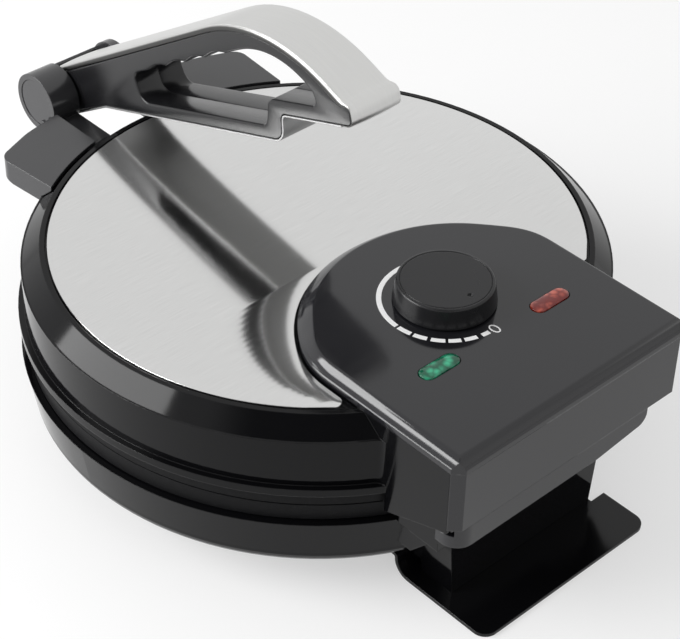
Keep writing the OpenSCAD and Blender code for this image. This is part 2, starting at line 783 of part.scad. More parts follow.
module lid_ring() {
    rotate_extrude($fn = 180) polygon([[0, flange_z], [flange_r, flange_z], [flange_r, band_z],
        [band_r, band_z], [band_r, bevel_z], [bevel_low_r, bevel_z], [bevel_top_r, land_z],
        [land_in_r, land_z], [land_in_r, land_z - 2], [disc_r, land_z - 2], [disc_r, disc_z - disc_t],
        [0, disc_z - disc_t]]);
}

module lid_ring_inside() {
    low = flange_z + wall;
    ledge_z = disc_z - disc_t - ledge_t;
    rotate_extrude($fn = 180) polygon([[0, flange_z - 1], [flange_r - flange_lip, flange_z - 1],
        [flange_r - flange_lip, low], [band_r - wall, low], [band_r - wall, bevel_z - 1],
        [disc_r + 1, ledge_z - 1], [disc_r - ledge_w, ledge_z - 1], [disc_r - ledge_w, disc_z + 1],
        [0, disc_z + 1]]);
}

module box_wall() {
    along_x(box_in_x, box_side_x)
        polygon([[box_front_y, disc_z], [box_rear_y, disc_z], [box_rear_y, parting_z + 10.5],
                 [box_rear_y - 4.3, parting_z + 9.5], [box_rear_y - 30, parting_z],
                 [band_r * cos(asin(box_side_x / band_r)) + 3, parting_z - 3],
                 [band_r * cos(asin(box_side_x / band_r)) + 3, flange_z], [box_front_y, flange_z]]);
}

// Concave fillet where the band runs into the box's side wall
module box_fillet() {
    cx = box_side_x + box_fillet_r;
    cy = sqrt(pow(band_r + box_fillet_r, 2) - cx * cx);
    k = band_r / (band_r + box_fillet_r);
    translate([0, 0, flange_z]) linear_extrude(bevel_z - flange_z) difference() {
        polygon([[box_in_x, cy], [cx - box_fillet_r, cy], [cx * k, cy * k], [box_in_x, cy * k - 2]]);
        translate([cx, cy]) circle(r = box_fillet_r, $fn = 64);
    }
}

module lid_knuckle() {
    x1 = housing_in_half_w - 0.6;
    x0 = x1 - lid_knuckle_w;
    translate([0, hinge_y, parting_z]) rod_x(knuckle_r, x0, x1);
    block(x0, x1, hinge_y - 4, hinge_y + 5.5, parting_z, flange_z + 1);
}

module lid_shell() {
    color("#1b1b1d") on_axis() difference() {
        union() {
            difference() {
                union() {
                    lid_ring();
                    difference() {
                        both_sides() box_wall();
                        disc(disc_r, disc_z - disc_t, disc_z + 1);
                    }
                    both_sides() box_fillet();
                }
                lid_ring_inside();
                block(-box_in_x, box_in_x, 60, box_rear_y + 1, flange_z + wall, disc_z + 1);
            }
            block(-box_in_x - eps, box_in_x + eps, band_r - 30, floor_rear_y, flange_z, flange_z + wall);
            both_sides() lid_knuckle();
            around(fixing_angles, 0) block(lug_ring_r - lug_in, band_r - wall / 2, -lug_half_w, lug_half_w,
                                           upper_lug_z, upper_lug_z + lug_t);
            intersection() {
                both_sides() block(bracket_screw_x - pad_half_w, bracket_screw_x + pad_half_w,
                                   -band_r, -band_r + pad_depth, bevel_z - arm_h, bevel_z);
                disc(band_r - wall / 2, bevel_z - arm_h, bevel_z);
            }
        }
        disc(flange_r - flange_lip, flange_z - 1, flange_z + wall + 0.5);
        both_sides() translate([0, hinge_y, parting_z])
            rod_x(hinge_pin_r + pin_play, housing_in_half_w - lid_knuckle_w - 2, housing_in_half_w + 1);
        around(fixing_angles, lug_ring_r) screw_hole(upper_lug_z - 5, upper_lug_z + 5);
        both_sides() bracket_screw_line() screw_hole(-12, 12);
        both_sides() translate([panel_post_x, panel_post_y, 0]) screw_hole(flange_z - 1, flange_z + 5);
    }
}

module lid_disc() {
    color("#c8cacc") on_axis() difference() {
        disc(disc_r, disc_z - disc_t, disc_z);
        panel_solid(3, disc_z - 5, panel_z + 5, panel_z + 5);
    }
}

// Control box

// Solid with the panel's outline, drawn in by inset, with a sloping border between edge_z and top_z
module panel_solid(inset, z0, edge_z, top_z) {
    r = panel_r - inset;
    hw = panel_half_w - inset;
    rear = panel_rear_y - inset;
    w = top_z > edge_z ? panel_bevel_w : 0;
    cut = inset * 0.6;
    intersection() {
        union() {
            translate([0, panel_y, 0]) rotate_extrude($fn = 128)
                polygon([[0, z0], [r, z0], [r, edge_z], [r - w, top_z], [0, top_z]]);
            block(-hw, hw, panel_y, rear, z0, top_z);
        }
        along_y(panel_y - panel_r - 1, panel_rear_y + 1)
            polygon([[-hw, z0], [hw, z0], [hw, edge_z], [hw - w, top_z], [-hw + w, top_z], [-hw, edge_z]]);
        along_x(-panel_half_w - 1, panel_half_w + 1)
            polygon([[panel_y - panel_r - 1, z0], [rear, z0], [rear, edge_z], [rear - w, top_z],
                     [panel_y - panel_r - 1, top_z]]);
        translate([0, 0, z0]) linear_extrude(top_z - z0)
            polygon([[-hw, 0], [hw, 0], [hw, rear - corner_l + cut], [hw - corner_w + cut, rear],
                     [-hw + corner_w - cut, rear], [-hw, rear - corner_l + cut]]);
    }
}

// Plan of the rear wall with its cut-off corners
module rear_wall_plan() {
    hw = panel_half_w;
    y = panel_rear_y;
    polygon([[hw, y - corner_l], [hw - corner_w, y], [corner_w - hw, y], [-hw, y - corner_l],
             [wall - hw, y - corner_l], [corner_w - hw + wall * 0.4, y - wall],
             [hw - corner_w - wall * 0.4, y - wall], [hw - wall, y - corner_l]]);
}

module flap_plan() {
    hw = flap_half_w;
    r = flap_corner_r;
    t = 2.5;
    y = panel_rear_y;
    polygon(concat([[hw, flap_seam_y]], arc(hw - r, y - r, r, 0, 90, 10),
                   arc(r - hw, y - r, r, 90, 180, 10), [[-hw, flap_seam_y], [t - hw, flap_seam_y]],
                   arc(r - hw, y - r, r - t, 180, 90, 10),
                   arc(hw - r, y - r, r - t, 90, 0, 10), [[hw - t, flap_seam_y]]));
}

// The flap seen from behind: it ends short of the cord's side, where its lower edge runs up
module flap_face() {
    top = strip_z + 2;
    polygon(rounded_loop([[-flap_end_x, top, 0], [-flap_end_x + 1.2, flap_z + flap_end_rise, 6],
        [-18, flap_z, 30], [panel_half_w + 1, flap_z, 0], [panel_half_w + 1, top, 0]]));
}

module flap() {
    intersection() {
        union() {
            translate([0, 0, flap_z]) linear_extrude(parting_z + 7.5 - flap_z) flap_plan();
            intersection() {
                translate([0, 0, flap_z]) linear_extrude(strip_z - flap_z + 1) flap_plan();
                block(-panel_half_w, panel_half_w, box_rear_y + slide_gap, panel_rear_y + 1, 0, strip_z);
            }
        }
        along_y(0, panel_rear_y + 1) flap_face();
    }
}

module control_panel() {
    color("#26262a") on_axis() difference() {
        union() {
            difference() {
                panel_solid(0, disc_z, panel_edge_z, panel_z);
                panel_solid(wall, disc_z - 1, panel_edge_z - 1.2, panel_z - wall);
            }
            translate([0, 0, strip_z]) linear_extrude(disc_z - strip_z + 1) rear_wall_plan();
            flap();
            both_sides() translate([panel_post_x, panel_post_y, 0])
                disc(panel_post_r, flange_z + wall, panel_z - 1);
            intersection() {
                both_sides() block(panel_post_x - 1, panel_post_x + 1, panel_post_y, panel_rear_y,
                                   disc_z - panel_rib_drop, panel_z);
                panel_solid(1, disc_z - panel_rib_drop - 1, panel_edge_z - 0.5, panel_z - 1);
            }
        }
        both_sides() translate([panel_post_x, panel_post_y, 0]) screw_pilot(flange_z, flange_z + wall + 14);
        translate([0, knob_y, 0]) disc(neck_r + slide_gap, panel_z - 5, panel_z + 5);
        both_sides() translate([lamp_half_x, lamp_y, 0]) capsule(slide_gap, panel_z - 5, panel_z + 5);
    }
}

module panel_screws() {
    color("#8a8d90") on_axis() both_sides() translate([panel_post_x, panel_post_y, flange_z])
        screw_up(wall - 2);
}

// Upright solid with a capsule plan along X, grown by extra all round
module capsule(extra, z0, z1) {
    r = lamp_w / 2 + extra;
    half = (lamp_len - lamp_w) / 2;
    translate([0, 0, z0]) linear_extrude(z1 - z0) {
        translate([-half, -r]) square([2 * half, 2 * r]);
        for (x = [-half, half]) translate([x, 0]) circle(r = r, $fn = 48);
    }
}

module lens() {
    capsule(0, panel_z - wall - eps, panel_z + lamp_rise - 0.4);
    capsule(-0.7, panel_z + lamp_rise - 0.4 - eps, panel_z + lamp_rise);
    capsule(2, panel_z - wall - 1.6, panel_z - wall);
}
module red_lens() { color("#c02a20") on_axis() translate([-lamp_half_x, lamp_y, 0]) lens(); }
module green_lens() { color("#0f9a45") on_axis() translate([lamp_half_x, lamp_y, 0]) lens(); }

module lamp_holders() {
    top = panel_z - wall - 1.6;
    color("#e8e4d8") on_axis() both_sides() translate([lamp_half_x, lamp_y, 0]) difference() {
        block(-holder_half_l, holder_half_l, -holder_half_w, holder_half_w, top - holder_h, top);
        capsule(-1, top - 8, top + 1);
    }
}

module thermostat() {
    top = panel_z - wall;
    color("#b7b2a6") on_axis() translate([0, knob_y, 0]) difference() {
        union() {
            block(-body_half_w, body_half_w, -body_half_l, body_half_l, top - body_h, top);
            disc(neck_r, top - eps, panel_z + neck_rise);
        }
        disc(shaft_r + pin_play, top - 14, panel_z + 5);
    }
}

module thermostat_nut() {
    color("#9a9da1") on_axis() translate([0, knob_y, panel_z]) difference() {
        cylinder(r = nut_r, h = neck_rise - 0.6, $fn = 6);
        translate([0, 0, -1]) cylinder(r = neck_r + seat_gap, h = 4, $fn = 48);
    }
}

// Printed scale: a solid arc for the high settings, shortening dashes and a zero
dial_arc = [-170, -0.7];
dial_dashes = [[1.7, 13.3], [17.7, 12.3], [33.3, 12.4], [48.3, 11], [62.3, 11.7], [79, 7.7]];
dial_zero_at = 93.3;

module dial_scale() {
    t = 0.12;
    w = 2.4;
    color("white") on_axis() translate([0, knob_y, panel_z]) {
        ring_arc(dial_r, w, t, dial_arc[0], dial_arc[1]);
        for (d = dial_dashes)
            ring_arc(dial_r, w, t, d[0], d[0] + d[1]);
        rotate([0, 0, dial_zero_at]) translate([dial_r, 0, 0]) linear_extrude(t) difference() {
            oval(3.2, 2.1);
            oval(2.5, 1.4);
        }
    }
}

module ring_arc(r, w, t, a0, a1) {
    rotate([0, 0, a0]) rotate_extrude(angle = a1 - a0, $fn = 120) translate([r - w / 2, 0]) square([w, t]);
}

module oval(a, b) { polygon([for (i = [0:23]) [a * cos(15 * i), b * sin(15 * i)]]); }

// Knob

module control_knob() {
    color("#1c1c1e") on_axis() translate([0, knob_y, panel_z + knob_gap]) difference() {
        rotate_extrude($fn = 96) polygon([[0, 0], [knob_r - chamfer, 0], [knob_r, chamfer],
            [knob_top_r + 0.2, knob_h - 1.2], [knob_top_r - 1, knob_h], [0, knob_h]]);
        difference() {
            translate([0, 0, -1]) cylinder(r = knob_r - wall - 1, h = knob_h - 1.5, $fn = 64);
            translate([0, 0, 2.4]) cylinder(r = shaft_r + 3, h = knob_h, $fn = 48);
        }
        translate([0, 0, -1]) cylinder(r = shaft_r + pin_play, h = knob_h - 1, $fn = 48);
        translate([0, dimple_y - knob_y, knob_h - dimple_depth])
            cylinder(r = dimple_r + seat_gap, h = 2, $fn = 32);
    }
}

module knob_mark() {
    color("#101011") on_axis() translate([0, dimple_y, panel_z + knob_gap + knob_h - dimple_depth])
        cylinder(r = dimple_r, h = dimple_depth - 0.2, $fn = 32);
}

module control_shaft() {
    z0 = panel_z - wall - 12;
    z1 = panel_z + knob_gap + knob_h - 2.2;
    color("#b9bcc0") on_axis() translate([0, knob_y, z0]) cylinder(r = shaft_r, h = z1 - z0, $fn = 48);
}

// Handle bracket: a tongue with two lobes, and arms that carry the barrel

module bracket_screw_line() {
    translate([bracket_screw_x, -band_r + pad_depth, bevel_z - arm_h / 2]) rotate([90, 0, 0]) children();
}

// Space that the lid takes up, with a clearance around it
module lid_envelope(gap) {
    rotate_extrude($fn = 180) polygon([[0, flange_z - gap], [flange_r + gap, flange_z - gap],
        [flange_r + gap, band_z + gap], [band_r + gap, band_z + gap], [band_r + gap, bevel_z + gap],
        [bevel_low_r + gap, bevel_z + gap], [bevel_top_r + gap, land_z + gap],
        [bevel_top_r + gap, disc_z + 20], [0, disc_z + 20]]);
}

module lobe_plan() {
    back_y = -tongue_r * 0.65;
    polygon(rounded_loop([[recess_half_w, back_y, 0], [recess_half_w, -tongue_r * 0.98, 0],
        [recess_half_w + 22, -tongue_r * 0.955, 40], [lobe_half_w, -tongue_r * 0.9, lobe_corner_r],
        [lobe_half_w - lobe_taper, back_y, 0]]));
}

module handle_bracket() {
    x_in = handle_half_w + handle_side_gap;
    py = -pivot_reach;
    arm_z = bevel_z - arm_h;
    color("#1b1b1d") on_axis() difference() {
        union() {
            difference() {
                union() {
                    intersection() {
                        both_sides() translate([0, 0, disc_z - 20]) linear_extrude(20) lobe_plan();
                        along_x(-band_r, band_r) polygon([[0, disc_z - tongue_h], [0, disc_z],
                            [-tongue_r - 4, disc_z], [-tongue_r - 4, disc_z - tongue_tip_h],
                            [-band_r, disc_z - tongue_h]]);
                    }
                    both_sides() block(x_in + 0.5, recess_half_w + 2, py + barrel_r * 0.5, -band_r + 8,
                                       arm_z, bevel_z);
                }
                disc(bevel_top_r + 2.5, bevel_z, disc_z + 1);
                lid_envelope(slide_gap);
            }
            translate([0, py, pivot_z]) {
                rod_x(barrel_r, x_in, x_in + barrel_long);
                rod_x(barrel_r, -x_in - barrel_short, -x_in);
                intersection() {
                    difference() {
                        rod_x(barrel_r, -x_in - eps, x_in + eps);
                        rod_x(barrel_r - barrel_wall, -x_in - 1, x_in + 1);
                    }
                    along_x(-x_in - 1, x_in + 1)
                        polygon(concat([[0, 0]],
                                       arc(0, 0, 2.5 * barrel_r, barrel_wall_from, barrel_wall_to, 6)));
                }
            }
        }
        translate([0, py, pivot_z]) {
            rod_x(pivot_pin_r + eps, -x_in - barrel_short - 1, x_in + barrel_long + 1);
            rod_x(barrel_r - 3.1, x_in + barrel_long - 2, x_in + barrel_long + 1);
            rod_x(barrel_r - 3.1, -x_in - barrel_short - 1, -x_in - barrel_short + 2);
        }
        both_sides() bracket_screw_line() screw_pilot(0, 24);
    }
}

module bracket_screws() {
    color("#8a8d90") on_axis() both_sides() bracket_screw_line() screw_up(8);
}

module barrel_caps() {
    x_in = handle_half_w + handle_side_gap;
    color("#232326") on_axis() translate([0, -pivot_reach, pivot_z]) {
        rod_x(barrel_r - 3.3, x_in + barrel_long - 2, x_in + barrel_long - 0.3);
        rod_x(barrel_r - 3.3, -x_in - barrel_short + 0.3, -x_in - barrel_short + 2);
    }
}

module pivot_pin() {
    x_in = handle_half_w + handle_side_gap;
    color("#9a9da1") on_axis() translate([0, -pivot_reach, pivot_z])
        rod_x(pivot_pin_r, -x_in - barrel_short + 2, x_in + barrel_long - 2);
}

module pivot_washers() {
    x_in = handle_half_w + handle_side_gap;
    color("#2c2c2e") on_axis() translate([0, -pivot_reach, pivot_z]) both_sides() difference() {
        rod_x(washer_r, handle_half_w + 0.2, x_in);
        rod_x(pivot_pin_r + seat_gap, handle_half_w - 1, x_in + 1);
    }
}

// Handle: two plastic halves, a steel strap over them and a thin steel trim below

module handle_frame() {
    on_axis() translate([0, -pivot_reach, pivot_z]) rotate([handle_tilt, 0, 0]) children();
}

function window_line(u) = window_v + window_rise + (u - window_u) * tan(window_slope);
scallops = [for (i = [scallop_count * 6:-1:0])
    let (u = scallop_from + (scallop_to - scallop_from) * i / (scallop_count * 6))
    [u, window_line(u) + scallop_depth * abs(sin(30 * i)), 0]];
window_path = rounded_loop(concat(window_low, scallops));

module handle_section() {
    difference() {
        union() {
            polygon(concat(rounded(body_top), rounded(body_bottom)));
            intersection() {
                circle(r = eye_r - strap_t - 0.2, $fn = 64);
                translate([root_u, root_v]) rotate(root_slope) translate([-20, -40]) square([60, 40]);
            }
        }
        polygon(window_path);
    }
}

// The core reaches up under the strap, between its two turned-down edges
module handle_core() {
    core = beside(strap_outer, strap_t + 0.15);
    difference() {
        polygon(concat(rounded(core), rounded(beside(body_bottom, 0.02))));
        polygon(window_path);
    }
}

root_hollow = [[14, 8, 3], [window_u + 4, 17, 2], [window_u + 4, window_v + 1, 2], [40, window_v, 4],
               [16, -3, 3]];

module handle_half() {
    difference() {
        union() {
            along_x(0, handle_half_w) handle_section();
            along_x(0, handle_half_w - strap_t - 0.1) handle_core();
        }
        difference() {
            along_x(-1, handle_half_w - 3) polygon(rounded_loop(root_hollow));
            handle_bosses() rod_x(4, -2, 20);
        }
        rod_x(pivot_pin_r + pin_play, -1, handle_half_w + 1);
        handle_bosses() rod_x(screw_r + seat_gap, -1, handle_half_w - 4);
    }
}

module handle_bosses() {
    translate([0, 42, 6]) children();
    translate([0, handle_len - 16, tip_v + 3.4]) children();
}

module handle_left() { color("#202022") handle_frame() handle_half(); }
module handle_right() { color("#202022") handle_frame() mirror([1, 0, 0]) handle_half(); }

module handle_screws() {
    reach = handle_half_w - 4.5;
    color("#8a8d90") handle_frame() handle_bosses() rod_x(screw_r, -reach, reach);
}

module handle_strap() {
    skin = concat(rounded(strap_outer), backwards(rounded(beside(strap_outer, strap_t))));
    flank_low = beside(body_top, -0.15);
    color("#c8cacc") handle_frame() {
        along_x(-handle_half_w - 0.1, handle_half_w + 0.1) polygon(skin);
        both_sides() along_x(handle_half_w - strap_t + 0.1, handle_half_w + 0.1)
            polygon(concat(rounded(strap_outer), backwards(rounded(flank_low))));
    }
}

module handle_trim() {
    inner = beside(body_bottom, -0.05);
    outer = beside(body_bottom, -strap_t);
    color("#d2d4d6") handle_frame() along_x(-handle_half_w - 0.1, handle_half_w + 0.1)
        polygon(concat(rounded(inner), backwards(rounded(outer))));
}

base_shell();
base_cover();
lower_plate();
lower_heater();
lower_heat_shield();
lower_shield_screws();
lower_thermal_fuse();
base_plate_screws();
base_cover_screws();
rubber_feet();
rear_stand();
stand_screws();
hinge_pins();
cord_gland();
terminal_block();
lid_shell();
lid_disc();
upper_plate();
upper_heater();
upper_heat_shield();
upper_shield_screws();
upper_thermal_fuse();
lid_plate_screws();
control_panel();
dial_scale();
thermostat();
thermostat_nut();
red_lens();
green_lens();
lamp_holders();
panel_screws();
handle_bracket();
bracket_screws();
barrel_caps();
pivot_pin();
pivot_washers();
handle_left();
handle_right();
handle_strap();
handle_trim();
handle_screws();
control_knob();
knob_mark();
control_shaft();
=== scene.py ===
"""Looks of an electric roti maker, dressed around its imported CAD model."""
import logging
import math
from dataclasses import dataclass, field
from enum import Enum
from functools import cache
from itertools import accumulate
from typing import Callable, Optional, Sequence, Union

import bmesh
import bpy
from mathutils import Matrix, Vector, geometry


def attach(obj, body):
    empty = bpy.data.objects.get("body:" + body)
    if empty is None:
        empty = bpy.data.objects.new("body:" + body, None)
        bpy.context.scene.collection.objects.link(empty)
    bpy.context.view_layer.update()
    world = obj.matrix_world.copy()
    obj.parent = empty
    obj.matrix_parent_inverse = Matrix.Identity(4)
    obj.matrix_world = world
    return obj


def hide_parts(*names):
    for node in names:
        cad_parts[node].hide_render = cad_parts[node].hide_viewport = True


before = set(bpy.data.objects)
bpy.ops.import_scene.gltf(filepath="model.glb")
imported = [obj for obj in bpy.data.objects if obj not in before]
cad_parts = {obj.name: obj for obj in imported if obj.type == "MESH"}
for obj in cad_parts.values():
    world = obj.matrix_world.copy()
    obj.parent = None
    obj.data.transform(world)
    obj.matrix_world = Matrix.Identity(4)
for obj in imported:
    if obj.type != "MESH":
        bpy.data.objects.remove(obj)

LOG = logging.getLogger("roti_maker")
MM = 0.001
AXIS_Y = 12.25  # the cooking plates' axis, in millimetres behind the frame's origin
DISC_Z = 106.0  # the steel disc's face
PANEL_Z = 114.5  # the control panel's flat top
QUARTER = math.pi / 2
ROUND = 2 * math.pi
LEG_SHARE = 0.86  # the most that a rounded corner takes of each leg beside it
ARC_STEP = 4  # degrees between the points of a rounded corner

Point = tuple[float, float]
Triple = tuple[float, float, float]
Colour = tuple[float, float, float]
Input = Union["Signal", float, Sequence[float]]
Ring = Sequence[bmesh.types.BMVert]


class Signal:
    """A value that comes out of a shader node, with the operators that the finishes use."""

    def __init__(self, board: "Board", socket: bpy.types.NodeSocket) -> None:
        """Keeps the socket and the board it is on."""
        self.board = board
        self.socket = socket

    def _math(self, operation: str, first: Input, second: Input) -> "Signal":
        """A Math node of the two values."""
        return self.board.node("ShaderNodeMath", {"operation": operation}, {0: first, 1: second})

    def __add__(self, other: Input) -> "Signal":
        """Sum."""
        return self._math("ADD", self, other)

    def __radd__(self, other: Input) -> "Signal":
        """Sum, with this signal on the right."""
        return self._math("ADD", other, self)

    def __sub__(self, other: Input) -> "Signal":
        """Difference."""
        return self._math("SUBTRACT", self, other)

    def __rsub__(self, other: Input) -> "Signal":
        """Difference, with this signal on the right."""
        return self._math("SUBTRACT", other, self)

    def __mul__(self, other: Input) -> "Signal":
        """Product."""
        return self._math("MULTIPLY", self, other)

    def __rmul__(self, other: Input) -> "Signal":
        """Product, with this signal on the right."""
        return self._math("MULTIPLY", other, self)

    def over(self, low: float, high: float) -> "Signal":
        """0 below low, 1 above high and smooth between them.

        Args:
            low: value at which the result leaves 0.
            high: value at which the result reaches 1.

        Returns:
            The smooth step as a signal.
        """
        return self.board.node("ShaderNodeMapRange", {"interpolation_type": "SMOOTHSTEP"},
                               {"Value": self, "From Min": low, "From Max": high})


class Board:
    """The shader nodes of one material."""

    def __init__(self, name: str, tree: Optional[bpy.types.NodeTree] = None) -> None:
        """Makes a material, or takes the world's nodes, and clears them.

        Args:
            name: the new material's name.
            tree: nodes to clear and use instead.
        """
        if tree is None:
            self.material = bpy.data.materials.new(name)
            self.material.use_nodes = True
            tree = self.material.node_tree
        self.tree = tree
        self.tree.nodes.clear()

    def node(self, kind: str, settings: Optional[dict] = None, inputs: Optional[dict] = None,
             output: Union[int, str] = 0) -> Signal:
        """Adds one node.

        Args:
            kind: Blender's name of the node's type.
            settings: the node's own settings.
            inputs: values or signals for its sockets, by name or number.
            output: name or number of the socket that is given back.

        Returns:
            The chosen output as a signal.
        """
        made = self.tree.nodes.new(kind)
        for key, value in (settings or {}).items():
            setattr(made, key, value)
        for key, value in (inputs or {}).items():
            if isinstance(value, Signal):
                self.tree.links.new(value.socket, made.inputs[key])
            else:
                made.inputs[key].default_value = value
        return Signal(self, made.outputs[output])

    def vector(self, operation: str, *inputs: Input, output: Union[int, str] = 0) -> Signal:
        """A Vector Math node of the inputs."""
        return self.node("ShaderNodeVectorMath", {"operation": operation}, dict(enumerate(inputs)), output)

    def place(self, stretch: Triple = (1.0, 1.0, 1.0)) -> Signal:
        """Position on the object in metres, stretched along the three axes."""
        return self.vector("MULTIPLY", self.node("ShaderNodeTexCoord", output="Object"), stretch)

    def sideways(self) -> Signal:
        """0 where the surface faces along Y or Z and 1 where it faces along X."""
        facing = self.vector("ABSOLUTE", self.node("ShaderNodeTexCoord", output="Normal"))
        return self.node("ShaderNodeSeparateXYZ", inputs={0: facing}, output="X")

    def noise(self, scale: float, detail: float = 2.0, stretch: Triple = (1.0, 1.0, 1.0)) -> Signal:
        """Even noise from 0 to 1.

        Args:
            scale: bumps per metre.
            detail: octaves of finer noise.
            stretch: factors on the three axes; below 1 draws the noise out.

        Returns:
            The noise as a signal.
        """
        return self.node("ShaderNodeTexNoise", inputs={
            "Vector": self.place(stretch), "Scale": scale, "Detail": detail})

    def tint(self, factor: Input, low: Colour, high: Colour) -> Signal:
        """Colour between low and high."""
        return self.node("ShaderNodeMix", {"data_type": "RGBA"},
                         {0: factor, 6: (*low, 1.0), 7: (*high, 1.0)}, output=2)

    def eased(self, radius: float) -> Signal:
        """Normal with every edge eased to a radius in metres."""
        return self.node("ShaderNodeBevel", {"samples": 4}, {"Radius": radius})

    def bump(self, height: Input, distance: float, normal: Optional[Signal] = None) -> Signal:
        """Normal pushed by a height from 0 to 1 times a distance in metres.

        Args:
            height: the height, from 0 to 1.
            distance: metres between those two.
            normal: the normal that is pushed.

        Returns:
            The pushed normal.
        """
        inputs = {"Height": height, "Distance": distance, "Strength": 1.0}
        if normal is not None:
            inputs["Normal"] = normal
        return self.node("ShaderNodeBump", inputs=inputs)

    def edge(self, eased: Signal) -> Signal:
        """1 on rounded edges and 0 on open surfaces, from the eased normal."""
        flat = self.node("ShaderNodeNewGeometry", output="Normal")
        return (1.0 - self.vector("DOT_PRODUCT", eased, flat, output="Value")).over(0.01, 0.12)

    def finish(self, **sockets: Input) -> None:
        """Ends the material in one Principled surface, with _ for each space in its sockets' names."""
        inputs = {key.replace("_", " "): value for key, value in sockets.items()}
        self.end(self.node("ShaderNodeBsdfPrincipled", inputs=inputs))

    def mixed(self, share: Input, first: Signal, second: Signal) -> Signal:
        """The first shader with a share of the second."""
        return self.node("ShaderNodeMixShader", inputs={0: share, 1: first, 2: second})

    def end(self, surface: Signal, kind: str = "ShaderNodeOutputMaterial") -> None:
        """Links a surface to the output."""
        end = self.tree.nodes.new(kind)
        self.tree.links.new(surface.socket, end.inputs["Surface"])


@dataclass(frozen=True)
class Moulding:
    """Moulded plastic, rubber or paint, with smudges, a fine grain and lighter edges."""

    colour: Colour
    roughness: float
    smudge: float = 0.04
    grain: float = 0.00001
    grain_scale: float = 1500.0
    edge_radius: float = 0.0006
    edge_light: float = 0.015
    gloss: float = 0.5

    def draw(self, board: Board) -> None:
        """Draws the finish.

        Args:
            board: the nodes of a new material.
        """
        eased = board.eased(self.edge_radius)
        # Lighter edges: the eased edges, broken up by noise, take the colour raised by edge_light.
        patches = board.edge(eased) * board.noise(90.0, 3.0).over(0.2, 0.8)
        light = tuple(c + self.edge_light for c in self.colour)
        colour = board.tint(patches, self.colour, light)
        smudges = board.noise(26.0, 4.0).over(0.3, 0.7)
        board.finish(Base_Color=colour, Roughness=smudges * self.smudge + self.roughness,
                     Normal=board.bump(board.noise(self.grain_scale, 2.0), self.grain, eased),
                     Specular_IOR_Level=self.gloss)


class Brush(Enum):
    """Direction of a steel sheet's brush lines, as stretch factors of their noise."""

    ACROSS = (0.012, 1.0, 1.0)
    ALONG = (1.0, 0.012, 0.012)
    NONE = (1.0, 1.0, 1.0)


@dataclass(frozen=True)
class Steel:
    """Bright or brushed sheet metal, optionally with painted shade on the faces turned sideways."""

    colour: Colour
    roughness: float
    brush: Brush = Brush.NONE
    lines: float = 5000.0
    line_depth: float = 0.0000012
    edge_radius: float = 0.0004
    anisotropy: float = 0.0
    streaks: float = 0.06
    flank_painted_shade: float = 0.0

    def draw(self, board: Board) -> None:
        """Draws the finish.

        Args:
            board: the nodes of a new material.
        """
        eased = board.eased(self.edge_radius)
        lines = board.noise(self.lines, 3.0, self.brush.value)
        cloud = board.noise(14.0, 3.0)
        low = tuple(c * (1.0 - self.streaks) for c in self.colour)
        high = tuple(c * (1.0 + 0.4 * self.streaks) for c in self.colour)
        colour = board.tint(cloud * 0.3 + lines.over(0.3, 0.7) * 0.7, low, high)
        # Painted shade: faces turned sideways, such as the strap's turned-down flanks, lose this share of
        # their colour. The dark line stands in for the shadow in the groove between the strap and the
        # plastic.
        if self.flank_painted_shade:
            kept = 1.0 - board.sideways().over(0.62, 0.9) * self.flank_painted_shade
            colour = board.vector("MULTIPLY", colour, kept)
        board.finish(Base_Color=colour, Metallic=1.0,
                     Roughness=lines.over(0.25, 0.75) * 0.05 + (cloud * 0.04 + self.roughness),
                     Anisotropic=self.anisotropy,
                     Normal=board.bump(lines, self.line_depth, eased))


@dataclass(frozen=True)
class CoatedPlate:
    """Dark non-stick coating with fine specks on cast metal."""

    colour: Colour = (0.006, 0.006, 0.0065)
    speck: Colour = (0.03, 0.03, 0.031)
    gloss: float = 0.1

    def draw(self, board: Board) -> None:
        """Draws the finish.

        Args:
            board: the nodes of a new material.
        """
        specks = board.noise(2600.0, 2.0).over(0.62, 0.72)
        board.finish(Base_Color=board.tint(specks, self.colour, self.speck), Metallic=0.0,
                     Roughness=board.noise(300.0, 3.0) * 0.12 + 0.42, Specular_IOR_Level=self.gloss,
                     Normal=board.bump(board.noise(1400.0, 3.0), 0.00004, board.eased(0.0005)))


@dataclass(frozen=True)
class Print:
    """Thin printed ink with a slightly broken cover."""

    colour: Colour = (0.86, 0.86, 0.86)

    def draw(self, board: Board) -> None:
        """Draws the finish.

        Args:
            board: the nodes of a new material.
        """
        patches = board.noise(2200.0, 3.0).over(0.25, 0.7)
        low = tuple(c * 0.86 for c in self.colour)
        board.finish(Base_Color=board.tint(patches, low, self.colour), Roughness=patches * -0.1 + 0.55,
                     Normal=board.bump(patches, 0.000004))


@dataclass(frozen=True)
class Lens:
    """Coloured translucent lamp lens with cells in its depth, some of them lit by a painted glow."""

    dark: Colour
    light: Colour

    def draw(self, board: Board) -> None:
        """Draws the finish.

        Args:
            board: the nodes of a new material.
        """
        cells = board.node("ShaderNodeTexVoronoi", {"feature": "F1"},
                           {"Vector": board.place(), "Scale": 260.0}, output="Distance")
        # Painted glow: the middles of some cells take the light colour, standing in for bright light caught
        # in the lens.
        painted_glow = (1.0 - cells.over(0.1, 0.75)) * board.noise(160.0, 2.0).over(0.35, 0.6)
        board.finish(Base_Color=board.tint(painted_glow, self.dark, self.light), Roughness=0.06, IOR=1.49,
                     Coat_Weight=0.15, Coat_Roughness=0.02, Specular_IOR_Level=0.4,
                     Transmission_Weight=0.25, Normal=board.bump(cells, 0.00012))


